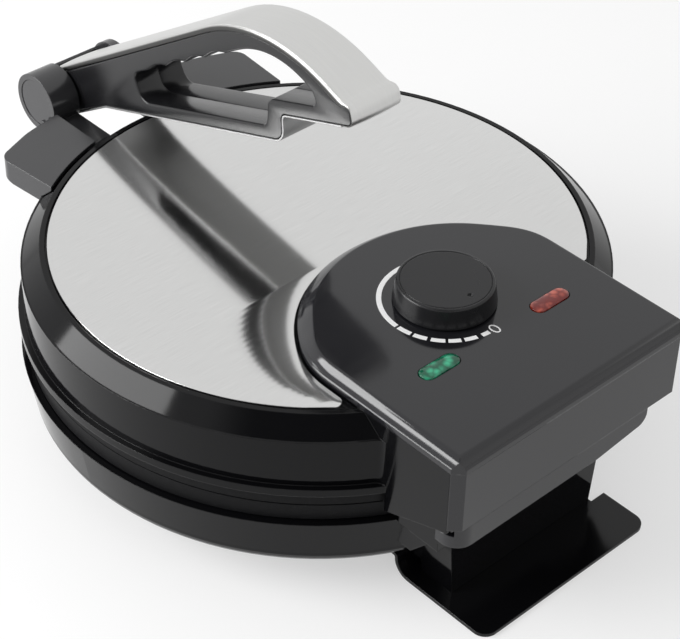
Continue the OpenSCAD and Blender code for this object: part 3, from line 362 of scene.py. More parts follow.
@dataclass(frozen=True)
class Sleeve:
    """Woven or glazed insulation in a light neutral colour."""

    colour: Colour
    weave: float
    roughness: float

    def draw(self, board: Board) -> None:
        """Draws the finish.

        Args:
            board: the nodes of a new material.
        """
        threads = board.node("ShaderNodeTexWave", {"bands_direction": "DIAGONAL"},
                             {"Vector": board.place(), "Scale": self.weave, "Distortion": 0.6})
        low = tuple(c * 0.8 for c in self.colour)
        board.finish(Base_Color=board.tint(threads, low, self.colour), Roughness=self.roughness,
                     Normal=board.bump(threads, 0.00005))


GLOSS_BLACK = Moulding((0.003, 0.003, 0.0035), 0.07, smudge=0.03, grain=0.0000015, grain_scale=700.0,
                       gloss=0.17)
PANEL_BLACK = Moulding((0.010, 0.010, 0.012), 0.09, smudge=0.03, grain=0.000003, grain_scale=2600.0)
KNOB_BLACK = Moulding((0.007, 0.007, 0.008), 0.26, smudge=0.03, grain=0.000006, grain_scale=2600.0,
                      gloss=0.34)
HANDLE_BLACK = Moulding((0.009, 0.009, 0.010), 0.2, smudge=0.05, grain=0.000005, grain_scale=2200.0,
                        gloss=0.38)
BRACKET_BLACK = Moulding((0.026, 0.026, 0.028), 0.2, smudge=0.05, grain=0.000005, grain_scale=2200.0,
                         gloss=0.6)
MATTE_BLACK = Moulding((0.022, 0.022, 0.023), 0.5, grain=0.00002, grain_scale=2400.0)
STAND_PAINT = Moulding((0.003, 0.003, 0.0035), 0.12, smudge=0.04, grain=0.000004, grain_scale=900.0,
                       edge_light=0.03, gloss=0.25)
RUBBER = Moulding((0.02, 0.02, 0.02), 0.65, grain=0.00002, grain_scale=1800.0)
NYLON = Moulding((0.045, 0.045, 0.046), 0.4)
BRUSHED_DISC = Steel((0.64, 0.64, 0.635), 0.09, Brush.ACROSS, anisotropy=0.4, streaks=0.08)
# The strap's flanks lose 0.9 of their colour to painted shade, standing in for the groove's shadow.
BRUSHED_STRAP = Steel((0.62, 0.62, 0.61), 0.28, Brush.ALONG, flank_painted_shade=0.9)
TRIM_STEEL = Steel((0.42, 0.42, 0.42), 0.5)
SCREW_STEEL = Steel((0.6, 0.61, 0.62), 0.3, line_depth=0.000003)
SHEET_STEEL = Steel((0.62, 0.63, 0.64), 0.34, line_depth=0.000004)
HEATER_SHEATH = Steel((0.3, 0.27, 0.24), 0.45, line_depth=0.00001)

SCREWS = ("lower_shield_screws", "upper_shield_screws", "base_plate_screws", "base_cover_screws",
          "stand_screws", "lid_plate_screws", "panel_screws", "bracket_screws", "handle_screws",
          "hinge_pins", "pivot_pin", "thermostat_nut", "control_shaft")

# Each material with its finish and the CAD nodes that wear it.
FINISHES = {
    "gloss_housing": (GLOSS_BLACK, ("base_shell", "lid_shell")),
    "bracket_black": (BRACKET_BLACK, ("handle_bracket", "barrel_caps")),
    "cover_plastic": (MATTE_BLACK, ("base_cover",)),
    "coated_plate": (CoatedPlate(), ("lower_plate", "upper_plate")),
    "heater_sheath": (HEATER_SHEATH, ("lower_heater", "upper_heater")),
    "shield_steel": (SHEET_STEEL, ("lower_heat_shield", "upper_heat_shield")),
    "screw_steel": (SCREW_STEEL, SCREWS),
    "fuse_sleeve": (Sleeve((0.72, 0.68, 0.6), 900.0, 0.7), ("lower_thermal_fuse", "upper_thermal_fuse")),
    "foot_rubber": (RUBBER, ("rubber_feet",)),
    "gland_rubber": (RUBBER, ("cord_gland",)),
    "stand_paint": (STAND_PAINT, ("rear_stand",)),
    "terminal_ceramic": (Sleeve((0.74, 0.72, 0.66), 120.0, 0.3),
                         ("terminal_block", "thermostat", "lamp_holders")),
    "brushed_disc": (BRUSHED_DISC, ("lid_disc",)),
    "panel_plastic": (PANEL_BLACK, ("control_panel",)),
    "white_print": (Print(), ("dial_scale",)),
    "red_lens": (Lens((0.20, 0.010, 0.006), (0.80, 0.16, 0.10)), ("red_lens",)),
    "green_lens": (Lens((0.002, 0.10, 0.05), (0.05, 0.55, 0.30)), ("green_lens",)),
    "washer_nylon": (NYLON, ("pivot_washers",)),
    "handle_plastic": (HANDLE_BLACK, ("handle_left", "handle_right")),
    "handle_steel": (BRUSHED_STRAP, ("handle_strap",)),
    "trim_steel": (TRIM_STEEL, ("handle_trim",)),
    "knob_plastic": (KNOB_BLACK, ("control_knob", "knob_mark")),
}


@cache
def material(finish: str) -> bpy.types.Material:
    """The material of a finish, made when it is first asked for.

    Args:
        finish: name of the finish.

    Returns:
        The material.
    """
    board = Board(finish)
    FINISHES[finish][0].draw(board)
    return board.material


def dress(piece: bpy.types.Object, finish: str) -> None:
    """Gives a piece or a CAD node the material of a finish.

    Args:
        piece: the piece.
        finish: name of the finish.
    """
    piece.data.materials.clear()
    piece.data.materials.append(material(finish))
    LOG.info("dressed %s as %s", piece.name, finish)


def dress_nodes() -> None:
    """Gives every CAD node its finish."""
    for finish, (_, names) in FINISHES.items():
        for name in names:
            dress(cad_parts[name], finish)


def placed(name: str, data: bpy.types.ID) -> bpy.types.Object:
    """Puts a new object with that data into the scene.

    Args:
        name: the object's name.
        data: its mesh, lamp or camera.

    Returns:
        The object.
    """
    made = bpy.data.objects.new(name, data)
    bpy.context.scene.collection.objects.link(made)
    return made


def right_of(step: Vector) -> Vector:
    """The direction to the right of a step, at length 1."""
    way = step.normalized()
    return Vector((way.y, -way.x))


def eased_share(value: float, start: float, end: float) -> float:
    """0 up to start and 1 from end on, smooth between them."""
    share = min(1.0, max(0.0, (value - start) / (end - start)))
    return share * share * (3 - 2 * share)


def lifted(loop: Sequence[Sequence[float]], z: float) -> list[Triple]:
    """Points about the plates' axis as points of the object, at a height."""
    return [(p[0], p[1] + AXIS_Y, z) for p in loop]


def arc(centre: Sequence[float], radius: float, start: float, sweep: float, steps: int) -> list[Vector]:
    """Points of an arc, one more than its steps.

    Args:
        centre: its centre.
        radius: its radius.
        start: angle of its first point, in radians.
        sweep: angle from its first point to its last.
        steps: number of steps between those two.

    Returns:
        The points, in order.
    """
    return [Vector((centre[0] + radius * math.cos(start + sweep * i / steps),
                    centre[1] + radius * math.sin(start + sweep * i / steps))) for i in range(steps + 1)]


def rounded_corner(a: Vector, b: Vector, c: Vector, radius: float) -> list[Vector]:
    """Points of the rounded corner at b of a path from a to c.

    Args:
        a: the point before the corner.
        b: the corner.
        c: the point after the corner.
        radius: radius of the corner, which the legs beside it limit.

    Returns:
        The points of the corner, in order.
    """
    into, out = (b - a).normalized(), (c - b).normalized()
    turn = math.atan2(into.cross(out), into.dot(out))
    half = abs(turn) / 2
    if half < math.radians(0.5):
        return [b]
    leg = min(radius * math.tan(half), LEG_SHARE * (b - a).length, LEG_SHARE * (c - b).length)
    true_radius = leg / math.tan(half)
    if true_radius < 0.05:
        return [b]
    side = 1.0 if turn > 0 else -1.0
    centre = b - into * leg + side * true_radius * Vector((-into.y, into.x))
    steps = max(3, math.ceil(math.degrees(abs(turn)) / ARC_STEP))
    return arc(centre, true_radius, math.atan2(into.y, into.x) - side * QUARTER, turn, steps)


def rounded_path(corners: Sequence[Triple], closed: bool = False) -> list[Vector]:
    """Path through corner points.

    Args:
        corners: the corners, each as u, v and its radius.
        closed: whether the path runs back to its start.

    Returns:
        The points of the path.
    """
    flat = [Vector(c[:2]) for c in corners]
    count = len(flat)
    path: list[Vector] = []
    for i, corner in enumerate(corners):
        if not closed and i in (0, count - 1):
            path.append(flat[i])
        else:
            path += rounded_corner(flat[i - 1], flat[i], flat[(i + 1) % count], corner[2])
    return path


def moved_corners(corners: Sequence[Triple], shift: float) -> list[Triple]:
    """Corner points of an open path moved to its right-hand side.

    Args:
        corners: the corners, each as u, v and its radius.
        shift: distance to the right of the path; below 0 moves it to the left.

    Returns:
        The moved corners with the radii that keep the distance.
    """
    flat = [Vector(c[:2]) for c in corners]
    last = len(flat) - 1
    moved = []
    for i, corner in enumerate(corners):
        first = right_of(flat[max(i, 1)] - flat[max(i, 1) - 1])
        second = right_of(flat[min(i, last - 1) + 1] - flat[min(i, last - 1)])
        spot = flat[i] + shift * (first + second) / (1 + first.dot(second))
        turn = first.cross(second)
        radius = 0.0 if corner[2] == 0 else max(0.3, corner[2] + (shift if turn > 0 else -shift))
        moved.append((spot.x, spot.y, radius))
    return moved


def reaches(path: Sequence[Vector]) -> list[float]:
    """How far along an open path each of its points is."""
    return list(accumulate(((b - a).length for a, b in zip(path, path[1:])), initial=0.0))


def evenly(path: Sequence[Vector], step: float) -> list[Vector]:
    """The same open path with points about one step apart.

    Args:
        path: points of the path.
        step: wanted distance between the new points.

    Returns:
        The new points, with both ends kept.
    """
    marks = reaches(path)
    count = max(2, round(marks[-1] / step))
    points, k = [], 0
    for i in range(count + 1):
        reach = marks[-1] * i / count
        while k < len(path) - 2 and marks[k + 1] < reach:
            k += 1
        span = marks[k + 1] - marks[k]
        points.append(path[k].lerp(path[k + 1], (reach - marks[k]) / span if span > 0 else 0.0))
    return points


def inset_loop(loop: Sequence[Vector], inset: Union[float, Sequence[float]]) -> list[Vector]:
    """A closed loop moved to its right-hand side, point by point.

    Args:
        loop: the loop's points; going clockwise, its inside is on the right.
        inset: how far each point moves, square to the loop; one value or one for each point.

    Returns:
        As many points, moved.
    """
    moved = []
    for i, spot in enumerate(loop):
        first, second = right_of(spot - loop[i - 1]), right_of(loop[(i + 1) % len(loop)] - spot)
        stretch = max(0.5, 1 + first.dot(second))
        reach = inset if isinstance(inset, float) else inset[i]
        moved.append(spot + reach * (first + second) / stretch)
    return moved


def capsule(middle: Point, half_length: float, half_width: float) -> list[Vector]:
    """Outline of a capsule that lies along X, anticlockwise.

    Args:
        middle: its middle.
        half_length: half of its length.
        half_width: half of its width.

    Returns:
        The outline's points.
    """
    reach = half_length - half_width
    return (arc((middle[0] + reach, middle[1]), half_width, -QUARTER, math.pi, 16)
            + arc((middle[0] - reach, middle[1]), half_width, QUARTER, math.pi, 16))


class Skin:
    """A closed surface that is laid up ring by ring and then becomes one piece."""

    def __init__(self) -> None:
        """Starts with no points."""
        self.mesh = bmesh.new()

    def ring(self, points: Sequence[Sequence[float]]) -> Ring:
        """Adds a ring of points, given in millimetres."""
        return [self.mesh.verts.new(Vector(p) * MM) for p in points]

    def tube(self, rings: Sequence[Ring]) -> None:
        """Joins each closed ring to the next one, of as many points, with faces.

        Args:
            rings: the rings, in order.
        """
        for low, high in zip(rings, rings[1:]):
            for i in range(len(low)):
                self.mesh.faces.new((low[i - 1], low[i], high[i], high[i - 1]))

    def solid(self, rings: Sequence[Ring]) -> None:
        """Joins each ring to the next one and fills the first and the last.

        Args:
            rings: the rings, in order.
        """
        self.tube(rings)
        self.cap(rings[0])
        self.cap(rings[-1])

    def cap(self, *rings: Ring) -> None:
        """Fills a flat outline, less the holes that the further rings give.

        Args:
            rings: the outline and then each hole.
        """
        spots = [[v.co for v in ring] for ring in rings]
        verts = [v for ring in rings for v in ring]
        for corners in geometry.tessellate_polygon(spots):
            if len(set(corners)) == 3:
                self.mesh.faces.new([verts[k] for k in corners])

    def piece(self, name: str, body: str, slot: str, stands_for: Sequence[str] = (),
              sharp: float = 32.0) -> bpy.types.Object:
        """Turns the surface into a piece of the object and dresses it.

        Args:
            name: the piece's name.
            body: the moving body that it rides on.
            slot: the record's material slot that it takes its finish from.
            stands_for: the CAD nodes that it replaces.
            sharp: least angle in degrees at which an edge stays sharp.

        Returns:
            The new object.
        """
        bmesh.ops.recalc_face_normals(self.mesh, faces=self.mesh.faces)
        for face in self.mesh.faces:
            face.smooth = True
        for edge in self.mesh.edges:
            edge.smooth = len(edge.link_faces) == 2 and edge.calc_face_angle() < math.radians(sharp)
        data = bpy.data.meshes.new(name)
        self.mesh.to_mesh(data)
        self.mesh.free()
        made = placed(name, data)
        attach(made, body)
        if stands_for:
            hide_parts(*stands_for)
        LOG.info("built %s on %s", name, body)
        dress(made, slot)
        return made


@dataclass
class Handle:
    """Lever handle: two plastic halves, a crowned steel strap over them and a thin trim below.

    Corners are u, v and radius in the handle's own plane, u along it from the pivot; a name that ends
    in _tip has its corners from the handle's end and the height of its tip instead.
    """

    pivot: Point = (AXIS_Y - 184.5, 103.0)
    tilt: float = 19.2
    half_width: float = 15.0
    length: float = 240.0
    slope: float = 13.8
    crest_back: float = 51.1
    crest_radius: float = 90.0
    eye_radius: float = 12.0
    eye_spread: Point = (284.0, 140.0)
    grip: tuple = ((185.0, -4.3, 8.0), (37.0, -4.3, 8.0), (3.0, -12.25, 0.0))
    root: Point = (-3.2, 9.2)
    tip_v: float = 9.3
    top_tip: tuple = ((-9.5, 11.3, 8.0), (-0.8, 9.5, 4.0), (-1.3, 0.0, 3.5), (-9.0, 0.0, 0.0))
    bottom_tip: tuple = ((-9.0, 0.0, 0.0), (-51.6, 0.0, 3.0))
    window_tip: tuple = ((-59.5, 6.8, 5.0), (-23.5, 6.8, 3.5), (-25.0, 14.5, 3.0))
    strap_tip: tuple = ((-5.3, 11.5, 5.0), (0.3, 10.4, 5.0), (-0.2, -1.0, 4.5), (-9.0, -1.0, 0.0))
    window_root: tuple = ((71.5, 16.9, 6.0), (73.5, 2.0, 7.0), (174.5, 2.0, 5.0))
    window_peak: float = 3.3
    window_radius: float = 55.0
    strap_crest: Triple = (0.5, 3.6, 3.0)
    strap_root: Triple = (-1.2, 13.5, 0.0)
    strap_thickness: float = 1.0
    strap_step: float = 1.6
    side_gap: float = 0.1
    edge_radius: float = 1.1
    seam_radius: float = 0.3
    seam_gap: float = 0.02
    strap_edge_radius: float = 2.6
    trim_edge_radius: float = 0.35
    crown: float = 0.45
    flank: Point = (3.5, 1.0)
    flank_change: Point = (14.0, 28.0)
    scallops: int = 4
    scallop_depth: float = 1.5
    scallop_span: Point = (86.0, 155.0)

    def crest(self) -> Point:
        """Corner point of the crest, on the line of the root's slope."""
        u = self.length - self.crest_back
        return u, self.root[1] + (u - self.root[0]) * math.tan(math.radians(self.slope))

    def at_tip(self, corners: Sequence[Triple]) -> list[Triple]:
        """Corners that are given from the handle's end and the height of its tip."""
        return [(self.length + u, self.tip_v + v, radius) for u, v, radius in corners]

    def top(self) -> list[Triple]:
        """Corners of the plastic's upper border, from the root to the tip."""
        return [(*self.root, 0.0), (*self.crest(), self.crest_radius), *self.at_tip(self.top_tip)]

    def bottom(self) -> list[Triple]:
        """Corners of the plastic's lower border, from the tip to the root."""
        return [*self.at_tip(self.bottom_tip), *self.grip]

    def strap_line(self) -> list[Triple]:
        """Corners of the strap's crown, from the root round the tip."""
        crest = tuple(a + b for a, b in zip((*self.crest(), self.crest_radius), self.strap_crest))
        return [self.strap_root, crest, *self.at_tip(self.strap_tip)]

    def window(self) -> list[Vector]:
        """The finger window's outline, with its scallops, clockwise.

        Returns:
            Points in the handle's own plane.
        """
        start, high, _ = self.window_root[0]
        slope = math.tan(math.radians(self.slope - 1.0))
        peak = self.crest()[0] + self.window_peak
        corners = [*self.window_root, *self.at_tip(self.window_tip),
                   (peak, high + (peak - start) * slope, self.window_radius)]
        count = self.scallops * 8
        first, last = self.scallop_span
        for i in range(count, -1, -1):
            u = first + (last - first) * i / count
            dip = self.scallop_depth * abs(math.sin(math.pi * i / 8))
            corners.append((u, high + (u - start) * slope + dip, 0.0))
        return list(reversed(rounded_path(corners, closed=True)))

    def outline(self) -> list[Vector]:
        """The plastic's outline, clockwise, with the round eye at its root.

        Returns:
            Points in the handle's own plane.
        """
        first, last = (math.radians(a) for a in self.eye_spread)
        eye = arc((0.0, 0.0), self.eye_radius, first, last - first, 36)
        return rounded_path(self.top()) + rounded_path(self.bottom())[1:] + eye[1:]

    def place(self, x: float, spot: Vector) -> Vector:
        """A point of the handle's own plane, in the object's millimetres.

        Args:
            x: distance from the handle's own plane.
            spot: u and v in that plane.

        Returns:
            The point.
        """
        t = math.radians(self.tilt)
        return Vector((x, self.pivot[0] + spot.x * math.cos(t) - spot.y * math.sin(t),
                       self.pivot[1] + spot.x * math.sin(t) + spot.y * math.cos(t)))

    def half(self, side: int) -> None:
        """Moulds one plastic half with a rounded outer edge and a fine seam in the middle.

        Args:
            side: 1 for the half towards +X, -1 for the other.
        """
        skin = Skin()
        outline, window = self.outline(), self.window()
        r, s = self.edge_radius, self.seam_radius
        steps = [(s, self.seam_gap), (0.3 * s, self.seam_gap + 0.3 * s), (0.0, s)]
        steps += arc((r, self.half_width - r), r, math.pi, -QUARTER, 6)
        outer = [skin.ring([self.place(side * x, p) for p in inset_loop(outline, d)]) for d, x in steps]
        inner = [skin.ring([self.place(side * x, p) for p in inset_loop(window, -d)]) for d, x in steps]
        skin.tube(outer)
        skin.tube(inner)
        skin.cap(outer[0], inner[0])
        skin.cap(outer[-1], inner[-1])
        name = "handle_left" if side > 0 else "handle_right"
        skin.piece(f"{name}_moulding", "handle", "handle_plastic", (name,))

    def strap_section(self, left: float) -> list[Point]:
        """Closed section of the strap across the handle.

        Args:
            left: distance to the strap's end at the tip, where its turned-down edges get shorter.

        Returns:
            Points of x and depth below the crown.
        """
        depth = self.flank[1] + (self.flank[0] - self.flank[1]) * eased_share(left, *self.flank_change)
        edge = self.half_width + self.side_gap
        r = max(0.25, min(self.strap_edge_radius, depth - self.crown - 0.15))
        flat = edge - r
        crown = [(flat * k / 5, self.crown * (k / 5) ** 2) for k in range(4, -1, -1)]
        right = [(edge, depth), *arc((flat, self.crown + r), r, 0.0, -QUARTER, 6), *crown]
        inside = edge - self.strap_thickness
        under = min(self.crown + 0.6, depth - 0.05)
        return right + [(-x, d) for x, d in reversed(right[:-1])] + [
            (-inside, depth), (-inside, under), (inside, under), (inside, depth)]

    def trim_section(self, _: float) -> list[Point]:
        """Closed section of the trim across the handle, the same at every distance from its end.

        Args:
            _: distance to the trim's end, which is not used.

        Returns:
            Points of x and depth.
        """
        edge, r = self.half_width + self.side_gap, self.trim_edge_radius
        right = [(edge, self.strap_thickness - 0.1), *arc((edge - r, r), r, 0.0, -QUARTER, 4)]
        return right + [(-x, d) for x, d in reversed(right)]

    def strip(self, node: str, slot: str, corners: Sequence[Triple],
              section: Callable[[float], Sequence[Point]]) -> None:
        """Lays a strip of steel along the handle.

        Args:
            node: the CAD node that it stands for.
            slot: its material slot.
            corners: the corners of its line, from which the depths are measured.
            section: gives its section at a distance from the line's end.
        """
        line = evenly(rounded_path(corners), self.strap_step)
        marks = reaches(line)
        skin = Skin()
        rings = []
        for i, spot in enumerate(line):
            inward = right_of(line[min(i + 1, len(line) - 1)] - line[max(i - 1, 0)])
            shape = section(marks[-1] - marks[i])
            rings.append(skin.ring([self.place(x, spot + inward * d) for x, d in shape]))
        skin.solid(rings)
        skin.piece(f"{node}_skin", "handle", slot, (node,))

    def build(self) -> None:
        """Builds both halves, the strap on the crown and the trim on the lower border."""
        for side in (1, -1):
            self.half(side)
        self.strip("handle_strap", "handle_steel", self.strap_line(), self.strap_section)
        below = moved_corners(self.bottom(), -self.strap_thickness)
        self.strip("handle_trim", "trim_steel", below, self.trim_section)


@dataclass
class Panel:
    """Control panel: a flat top in a rounded sloping border, the rear wall and the flap below it."""

    centre_y: float = 101.4
    radius: float = 77.3
    half: float = 73.8
    rear: float = 169.0
    cut: Point = (4.5, 5.0)
    shoulder: float = 56.0
    height: float = 8.5
    edge: float = 3.0
    foot_round: tuple = ((0.0, -0.5), (0.03, -0.3), (0.12, -0.12), (0.28, 0.0))
    rim_round: tuple = ((-0.5, -0.42), (-0.2, -0.22), (0.1, -0.08), (0.45, -0.01), (0.8, 0.0))
    side_slope: float = 4.0
    front_slope: float = 6.75
    slope_change: Point = (80.0, 50.0)
    bulge: float = 0.3
    wall: float = 2.0
    wall_low: float = 73.0
    flap_half: float = 71.9
    flap_radius: float = 9.5
    flap_thickness: float = 2.5
    flap_start: float = 155.8
    flap_step: float = 164.4
    flap_top: float = 67.5
    flap_end: tuple = ((74.0, 61.0, 0.0), (-18.0, 61.0, 30.0), (-51.4, 65.0, 6.0), (-52.6, 73.0, 0.0))
    knob_y: float = 86.0
    neck: float = 5.6
    lamp_x: float = 35.5
    lamp_y: float = 118.3
    lamp_hole: Point = (11.5, 4.5)

    def outline(self) -> list[Vector]:
        """The panel's outline about the plates' axis, clockwise.

        Returns:
            Points in millimetres.
        """
        turn = math.radians(self.shoulder)
        leg = (self.half - self.radius * math.sin(turn)) / math.cos(turn)
        front = [(*p, 0.0) for p in arc((0.0, self.centre_y), self.radius, turn - QUARTER, -2 * turn, 100)]
        meet = self.centre_y - self.radius * math.cos(turn) + leg * math.sin(turn)
        blend = leg / math.tan((QUARTER - turn) / 2)
        x, y = self.half - self.cut[0], self.rear - self.cut[1]
        corners = [(-x, self.rear, 0.0), (x, self.rear, 0.0), (self.half, y, 0.0), (self.half, meet, blend),
                   *front, (-self.half, meet, blend), (-self.half, y, 0.0)]
        return rounded_path(corners, closed=True)

    def front(self, gap: float) -> list[Vector]:
        """The outline's front part from +X to -X, a gap outside it."""
        return inset_loop(self.outline(), -gap)[3:-1]

    def ring_line(self, loop: Sequence[Vector], insets: Sequence[float]) -> list[Vector]:
        """The outline drawn in along its normals, with the upright cuts kept at the two rear corners.

        Args:
            loop: the outline.
            insets: how far each point moves.

        Returns:
            The moved outline.
        """
        line = inset_loop(loop, insets)
        side, back = insets[2], insets[1]
        x, y = self.half - self.cut[0], self.rear - self.cut[1]
        beside = min(y + side * self.cut[1] / self.cut[0], self.rear - side - 0.01)
        behind = min(x + back * self.cut[0] / self.cut[1], self.half - back - 0.01)
        line[0], line[1] = Vector((-behind, self.rear - back)), Vector((behind, self.rear - back))
        line[2], line[-1] = Vector((self.half - side, beside)), Vector((side - self.half, beside))
        return line

    def border(self, width: float) -> list[Point]:
        """Inset and height of the border's rings, from its foot to the flat top.

        Args:
            width: width of its slope.

        Returns:
            The rings' insets and heights.
        """
        foot = [(d, self.edge + z) for d, z in self.foot_round]
        rim = [(width + d, self.height + z) for d, z in self.rim_round]
        (d, z), (run, lift) = foot[-1], (rim[0][0] - foot[-1][0], rim[0][1] - foot[-1][1])
        span = math.hypot(run, lift)
        slope = []
        for k in range(1, 8):
            t = k / 8
            out = 4 * self.bulge * t * (1 - t) / span
            slope.append((d + run * t - out * lift, z + lift * t + out * run))
        return [(0.0, 0.0), *foot, *slope, *rim]

    def tray(self, skin: Skin) -> None:
        """Lays up the top, its border and its inside, with holes for the knob's neck and the lamps.

        Args:
            skin: the panel's surface.
        """
        loop = self.outline()
        more = self.front_slope - self.side_slope
        widths = [self.side_slope + more * eased_share(spot.y, *self.slope_change) for spot in loop]
        profiles = [self.border(w) for w in widths]
        steps = [([w + self.wall for w in widths], self.height - self.wall), ([self.wall] * len(loop), 0.0)]
        steps += [([p[k][0] for p in profiles], profiles[0][k][1]) for k in range(len(profiles[0]))]
        rings = [skin.ring(lifted(self.ring_line(loop, d), DISC_Z + z)) for d, z in steps]
        skin.tube(rings)
        holes = [arc((0.0, self.knob_y), self.neck, 0.0, ROUND, 48)[:-1]]
        holes += [capsule((side * self.lamp_x, self.lamp_y), *self.lamp_hole) for side in (1, -1)]
        pairs = [[skin.ring(lifted(hole, DISC_Z + z)) for z in (self.height, self.height - self.wall)]
                 for hole in holes]
        for pair in pairs:
            skin.tube(pair)
        skin.cap(rings[-1], *[high for high, _ in pairs])
        skin.cap(rings[0], *[low for _, low in pairs])

    def back(self, skin: Skin) -> None:
        """Lays up the rear wall with its two cut-off corner strips.

        Args:
            skin: the panel's surface.
        """
        x, y, t = self.half - self.cut[0], self.rear - self.cut[1], self.wall
        lean = 0.4 * t  # keeps the corner strips about as thick as the wall
        plan = [(self.half, y), (x, self.rear), (-x, self.rear), (-self.half, y), (t - self.half, y),
                (lean - x, self.rear - t), (x - lean, self.rear - t), (self.half - t, y)]
        skin.solid([skin.ring(lifted(plan, z)) for z in (self.wall_low, DISC_Z)])

    def flap(self, skin: Skin) -> None:
        """Lays up the rear flap, which wraps round the near corner and ends short of the cord's side.

        Args:
            skin: the panel's surface.
        """
        edge, r, t, low = self.flap_half, self.flap_radius, self.flap_thickness, self.flap_end[0][1]
        centre = Vector((edge - r, self.rear - r))
        sides = [(Vector((edge, y)), Vector((1.0, 0.0)), low) for y in (self.flap_start, centre.y)]
        sides += [(centre + r * way, way, low) for way in arc((0.0, 0.0), 1.0, 0.0, QUARTER, 12)[1:]]
        sides += [(Vector((spot.x, self.rear)), Vector((0.0, 1.0)), spot.y)
                  for spot in rounded_path(self.flap_end)[1:-1]]
        rings, tops = [], [self.flap_top]
        for spot, way, bottom in sides:
            inner = spot - t * way
            if spot.y >= self.flap_step:
                tops = [self.wall_low] if tops[-1] == self.wall_low else [self.flap_top, self.wall_low]
            for top in tops:
                rings.append(skin.ring([(p.x, p.y + AXIS_Y, z) for p, z in (
                    (spot, top), (spot, bottom), (inner, bottom), (inner, top))]))
        skin.solid(rings)

    def build(self) -> None:
        """Builds the panel."""
        skin = Skin()
        self.tray(skin)
        self.back(skin)
        self.flap(skin)
        skin.piece("control_panel_skin", "lid", "panel_plastic", ("control_panel",), 40.0)


@dataclass
class LidDisc:
    """Brushed steel disc of the lid, cut out around the control panel."""

    radius: float = 129.85
    edge: float = 0.3
    thickness: float = 0.8
    panel: Panel = field(default_factory=Panel)
    gap: float = 1.4
    corner: float = 4.0
    lip: float = 3.0
    lip_drop: float = 0.9
    lip_thickness: float = 0.6
    lip_end: float = 3.1
    texture_centre: Triple = (-10.0, 0.0, 0.0)

    def outline(self) -> list[Vector]:
        """The disc's outline, clockwise.

        Returns:
            Points about the plates' axis, in millimetres.
        """
        meet = math.acos((self.panel.half + self.gap) / self.radius)
        circle = arc((0.0, 0.0), self.radius, math.pi - meet, math.pi + 2 * meet, 180)
        front = self.panel.front(self.gap)
        tips = [rounded_corner(circle[-6], circle[-1], front[0], self.corner),
                rounded_corner(front[-1], circle[0], circle[5], self.corner)]
        return list(reversed(circle[6:-6] + tips[0] + front + tips[1]))

    def build(self) -> None:
        """Builds the disc with its turned edge, and the dark lip under its cut-out."""
        skin = Skin()
        loop, edge = self.outline(), self.edge
        steps = [(0.0, -self.thickness), (0.0, -edge), (0.3 * edge, -0.3 * edge), (edge, 0.0)]
        skin.solid([skin.ring(lifted(inset_loop(loop, d), DISC_Z + z)) for d, z in steps])
        disc = skin.piece("lid_disc_skin", "lid", "brushed_disc", ("lid_disc",))
        # A far texture centre makes the steel's own direction run the same way all over the disc.
        disc.data.use_auto_texspace = False
        disc.data.texspace_location = self.texture_centre
        disc.data.texspace_size = (1.0, 1.0, 1.0)
        self.seat()

    def seat(self) -> None:
        """Builds the dark lip that closes the gap between the disc and the panel, just below the disc."""
        low = DISC_Z - self.thickness - self.lip_drop
        high, out = low + self.lip_thickness, self.gap + self.lip
        lines, end = [], self.panel.centre_y + self.lip_end
        for gap, z in ((-self.lip, low), (out, low), (out, high), (-self.lip, high)):
            half = self.panel.half + gap
            lines.append(([Vector((half, end)), *self.panel.front(gap), Vector((-half, end))], z))
        skin = Skin()
        skin.solid([skin.ring([(line[i].x, line[i].y + AXIS_Y, z) for line, z in lines])
                    for i in range(len(lines[0][0]))])
        skin.piece("panel_seat_lip", "lid", "gloss_housing")


@dataclass
class Knob:
    """Control knob with a turned groove in its top and a small dimple as its mark."""

    axis_y: float = 86.0
    base_z: float = 115.0
    height: float = 10.95
    skirt: float = 24.2
    shoulder: float = 22.9
    shoulder_radius: float = 1.1
    groove: float = 21.1
    foot_ring: tuple = ((-1.0, 0.0), (-0.3, 0.15), (0.0, 0.7), (-0.1, 1.4))
    groove_ring: tuple = ((0.35, 0.0), (0.2, -0.1), (0.12, -0.4), (-0.12, -0.4), (-0.2, -0.1), (-0.35, 0.0))
    dimple_y: float = 15.49
    dimple: tuple = ((1.35, 0.0), (1.27, 0.5), (1.05, 0.75), (0.3, 0.85))

    def profile(self) -> list[Point]:
        """Radius and height of the knob's rings, from its foot to the groove in its top.

        Returns:
            Points of radius and height above the knob's foot.
        """
        top, r = self.height, self.shoulder_radius
        return [*[(self.skirt + d, z) for d, z in self.foot_ring],
                *arc((self.shoulder - r, top - r), r, 0.0, QUARTER, 6),
                *[(self.groove + d, top + z) for d, z in self.groove_ring]]

    def circle(self, radius: float, z: float, count: int = 128, y: float = 0.0) -> list[Triple]:
        """Points of a circle on the knob, y millimetres behind its axis."""
        return lifted(arc((0.0, self.axis_y + y), radius, 0.0, ROUND, count)[:-1], self.base_z + z)

    def build(self) -> None:
        """Builds the knob."""
        skin = Skin()
        rings = [skin.ring(self.circle(r, z)) for r, z in self.profile()]
        cup = [skin.ring(self.circle(r, self.height - d, 32, self.dimple_y)) for r, d in self.dimple]
        skin.tube(rings)
        skin.tube(cup)
        skin.cap(rings[0])
        skin.cap(rings[-1], cup[0])
        skin.cap(cup[-1])
        skin.piece("control_knob_turned", "knob", "knob_plastic", ("control_knob", "knob_mark"))


